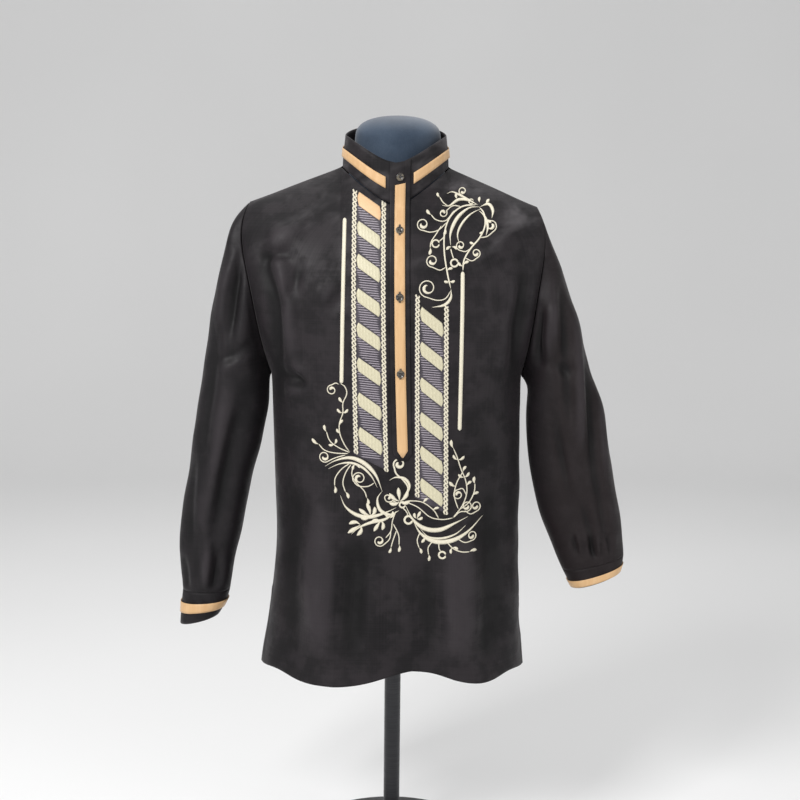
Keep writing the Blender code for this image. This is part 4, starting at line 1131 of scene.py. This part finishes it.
RIGHT_VINE = [
    stem([(85, 544), (98, 560), (105, 579), (103, 598), (96, 615), (90, 633), (84, 647)]),
    drop((84.5, 646), 104, 0.013, 0.0022), *pair((91.5, 629), 82, 0.0105, 52),
    *pair((101, 603), 98, 0.01, 54),
    stem([(93, 556), (87, 576), (90, 595), (99.5, 612)]),
    drop((88.5, 590), 142, 0.012, 0.0023), drop((99, 611), 58, 0.0095, 0.0019),
    curl([(104.5, 576), (99, 586), (91.5, 585)], (92.5, 577.5), 0.0072, 1, 1.35),
    stem([(96, 556), (109, 566), (116, 580), (117, 593)]),
    drop((117, 592), 94, 0.011, 0.0021), drop((114, 575), 22, 0.01, 0.002),
    curl([(102, 554), (111, 548), (120, 551)], (118.5, 559), 0.0072, 1, 1.3),
    drop((105, 590), 40, 0.0095, 0.0019),
]

add_work("scrolls_upper", UPPER_SCROLLS, CREAM)
add_work("scrolls_left_vine", LEFT_VINE, CREAM)
add_work("scrolls_lower", LOWER_SCROLLS, CREAM)
add_work("scrolls_right_vine", RIGHT_VINE, CREAM)


# ---------------------------------------------------------------- buttons and buttonholes

RIBBON_TREE = tree_of(placket_ribbon)
BUTTONHOLE = (-0.0085, -0.004, 0.0, 0.004, 0.0085)
BUTTONHOLE_GAP = 0.0008          # from a buttonhole's middle to the row of stitches on either side

# A button, in shares of its radius: (out, up) from its back's middle over the rim to its front's middle.
BUTTON_PROFILE = (
    (0.0, 0.0), (0.82, 0.0), (0.96, 0.07), (1.0, 0.17), (0.985, 0.28), (0.92, 0.37), (0.82, 0.40),
    (0.72, 0.37), (0.64, 0.29), (0.54, 0.245), (0.30, 0.23), (0.0, 0.23),
)
HOLE_OUT, HOLE_RADIUS = 0.22, 0.095
STITCH_OUT, STITCH_RADIUS, STITCH_LENGTH = 0.155, 0.045, 0.40


def lathed(bm, profile, segments):
    """A round shape from (radius, height) places, closed on the axis at both ends."""
    verts = [bm.verts.new((radius, 0.0, height)) for radius, height in profile]
    edges = [bm.edges.new(ends) for ends in zip(verts, verts[1:])]
    bmesh.ops.spin(bm, geom=verts + edges, cent=(0, 0, 0), axis=(0, 0, 1), angle=2 * math.pi, steps=segments,
                   use_merge=True)
    bmesh.ops.remove_doubles(bm, verts=bm.verts, dist=MERGE)
    bmesh.ops.recalc_face_normals(bm, faces=bm.faces)


def add_button(number):
    node = f"button_{number}"
    low, high = (Vector(corner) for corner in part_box(node))
    middle = (low + high) / 2
    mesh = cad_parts[node].data
    facing = [face.normal * face.area for face in mesh.polygons if face.normal.y < -0.6]
    ahead = sum(facing, Vector()).normalized()
    radius = (high.x - low.x) / 2
    back = middle - ahead * 0.5 * (high.y - low.y) * 0.55
    settle = Matrix.Translation(back) @ ahead.to_track_quat("Z", "Y").to_matrix().to_4x4()
    body = bmesh.new()
    lathed(body, [(out * radius, up * radius) for out, up in BUTTON_PROFILE], 40)
    body.transform(settle)
    button = finished(body, node + "_disc", HORN)
    holes = bmesh.new()
    for turn in range(4):
        angle = math.pi / 4 + turn * math.pi / 2
        out, wide = HOLE_OUT * radius, HOLE_RADIUS * radius
        spot = Matrix.Translation((out * math.cos(angle), out * math.sin(angle), 0.2 * radius))
        bmesh.ops.create_cone(holes, cap_ends=True, segments=12, radius1=wide, radius2=wide, depth=radius,
                              matrix=spot)
    holes.transform(settle)
    cutter = finished(holes, "cutter", HORN)
    cut = button.modifiers.new("holes", "BOOLEAN")
    cut.object = cutter
    cut.solver = "EXACT"
    button.data = bpy.data.meshes.new_from_object(button.evaluated_get(bpy.context.evaluated_depsgraph_get()))
    button.modifiers.clear()
    bpy.data.objects.remove(cutter)
    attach(button, "root")
    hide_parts(node)

    sewing = bmesh.new()
    for side in (-1, 1):
        wide = STITCH_RADIUS * radius
        spot = Matrix.Translation((side * STITCH_OUT * radius, 0.0, 0.245 * radius))
        lie = Matrix.Rotation(math.pi / 2, 4, "X") @ Matrix.Diagonal((1.6, 1.0, 1.0, 1.0))
        bmesh.ops.create_cone(sewing, cap_ends=True, segments=8, radius1=wide, radius2=wide,
                              depth=STITCH_LENGTH * radius, matrix=spot @ lie)
    bmesh.ops.bevel(sewing, geom=sewing.edges[:], offset=0.02 * radius, segments=2, profile=0.5,
                    affect="EDGES", material=-1)
    layer = sewing.loops.layers.uv.new("stitch")
    sewing.transform(settle)
    for face in sewing.faces:
        for loop in face.loops:
            loop[layer].uv = (loop.vert.co.x, loop.vert.co.z)
    thread_piece = finished(sewing, node + "_thread", BLACK_THREAD)
    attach(thread_piece, "root")
    return middle


button_places = [add_button(number) for number in (1, 2, 3, 4)]

stitches = []
for place in button_places:
    if place.z < 1.0:
        for side in (-1, 1):
            x = place.x + side * BUTTONHOLE_GAP
            route = [Vector((x, place.z + step)) for step in BUTTONHOLE]
            stitches.append((route, 0.0007, {"height": 0.0005, "lift": 0.0001, "pace": 0.0015,
                                             "tree": RIBBON_TREE}))
add_work("buttonholes", stitches, BLACK_THREAD)


# ---------------------------------------------------------------- light, floor and camera

SWEEP_FROM = 3.0
SWEEP_RADIUS = 1.6
LENS = 66.0
CAMERA_PLACE = (0.007, -2.2, 1.0)
CAMERA_PITCH = 82.2
CAMERA_ROLL = 0.6


def add_stage():
    floor = bmesh.new()
    bmesh.ops.create_grid(floor, x_segments=1, y_segments=96, size=7.0)
    for vert in floor.verts:
        past = vert.co.y - SWEEP_FROM
        if past > 0:
            angle = min(past / SWEEP_RADIUS, math.pi / 2)
            vert.co.y = SWEEP_FROM + SWEEP_RADIUS * math.sin(angle)
            vert.co.z = SWEEP_RADIUS * (1 - math.cos(angle)) + max(0.0, past - SWEEP_RADIUS * math.pi / 2)
    material, tree, shader = new_material("pale paper", 0.9, Specular_IOR_Level=0.1)
    cloud = noise(tree, object_place(tree), 0.6, 2.0)
    tree.links.new(blend_colours(tree, cloud, (0.80, 0.80, 0.80, 1.0), (0.90, 0.90, 0.90, 1.0)),
                   shader.inputs["Base Color"])
    finished(floor, "floor", material)


def add_light(name, place, aim, size, power):
    lamp = bpy.data.lights.new(name, "AREA")
    lamp.shape = "RECTANGLE"
    lamp.size, lamp.size_y = size
    lamp.energy = power
    holder = bpy.data.objects.new(name, lamp)
    holder.location = place
    holder.rotation_euler = (Vector(aim) - Vector(place)).to_track_quat("-Z", "Y").to_euler()
    bpy.context.scene.collection.objects.link(holder)


def add_camera():
    lens = bpy.data.cameras.new("camera")
    lens.sensor_width = 36.0
    lens.lens = LENS
    holder = bpy.data.objects.new("camera", lens)
    holder.location = CAMERA_PLACE
    holder.rotation_euler = (Matrix.Rotation(math.radians(CAMERA_PITCH), 3, "X")
                             @ Matrix.Rotation(math.radians(CAMERA_ROLL), 3, "Z")).to_euler()
    bpy.context.scene.collection.objects.link(holder)
    bpy.context.scene.camera = holder


def add_world():
    world = bpy.data.worlds.new("studio")
    world.use_nodes = True
    sky = world.node_tree.nodes["Background"]
    sky.inputs["Color"].default_value = (1.0, 1.0, 1.0, 1.0)
    sky.inputs["Strength"].default_value = 0.50
    bpy.context.scene.world = world
    bpy.context.scene.view_settings.view_transform = "Standard"


NECK_SQUARE = 0.8               # under 1 the neck's top is flatter, with rounder corners, than a dome
NECK_STEPS = 7
NECK_TOP_FROM = 0.03            # the neck's open top lies within this of the torso's highest point


def add_form_skin():
    """The torso and its neck cap as one smooth jersey skin, without the seam between them."""
    skin = bmesh.new()
    skin.from_mesh(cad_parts["form_torso"].data)
    bmesh.ops.remove_doubles(skin, verts=skin.verts, dist=MERGE)
    bmesh.ops.join_triangles(skin, faces=skin.faces, angle_face_threshold=QUAD_LIMIT,
                             angle_shape_threshold=math.pi, topology_influence=1.0)
    skin.normal_update()
    highest = max(vert.co.z for vert in skin.verts) - NECK_TOP_FROM
    top = [face for face in skin.faces if face.normal.z > 0.9 and face.calc_center_median().z > highest]
    bmesh.ops.delete(skin, geom=top, context="FACES")
    ring = [edge for edge in skin.edges if edge.is_boundary]
    rim = {vert for edge in ring for vert in edge.verts}
    middle = sum((vert.co for vert in rim), Vector()) / len(rim)
    tilt = (max(rim, key=lambda vert: vert.co.z).co - min(rim, key=lambda vert: vert.co.z).co).normalized()
    upward = tilt.cross(Vector((1.0, 0.0, 0.0))).normalized()
    upward *= math.copysign(1.0, upward.z)
    height = max((vert.co - middle).dot(upward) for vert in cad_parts["form_neck_cap"].data.vertices)
    width, level = 1.0, 0.0
    for step in range(1, NECK_STEPS + 1):
        turn = math.pi / 2 * step / NECK_STEPS
        grown = bmesh.ops.extrude_edge_only(skin, edges=ring)["geom"]
        ring = [part for part in grown if isinstance(part, bmesh.types.BMEdge)]
        verts = [part for part in grown if isinstance(part, bmesh.types.BMVert)]
        share = max(math.cos(turn), 0.02) ** NECK_SQUARE
        rise = height * math.sin(turn) ** NECK_SQUARE
        for vert in verts:
            spoke = vert.co - middle - upward * level
            vert.co = middle + spoke * share / width + upward * rise
        width, level = share, rise
    bmesh.ops.pointmerge(skin, verts=verts, merge_co=middle + upward * height)
    bmesh.ops.recalc_face_normals(skin, faces=skin.faces)
    piece = finished(skin, "form_skin", JERSEY)
    rounder = piece.modifiers.new("smooth", "SUBSURF")
    rounder.levels = rounder.render_levels = 2
    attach(piece, "root")
    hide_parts("form_torso", "form_neck_cap")


add_stage()
add_world()
add_light("key", (-1.6, -2.2, 2.6), (0.0, 0.0, 0.8), (1.1, 1.1), 80.0)
add_light("fill", (2.2, -1.8, 1.4), (0.0, 0.0, 0.7), (1.4, 1.8), 16.0)
add_light("top", (0.0, 0.6, 2.8), (0.0, 0.0, 0.8), (1.5, 1.0), 22.0)
add_camera()

add_form_skin()
for node in ("pole", "base"):
    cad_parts[node].material_slots[0].material = STEEL
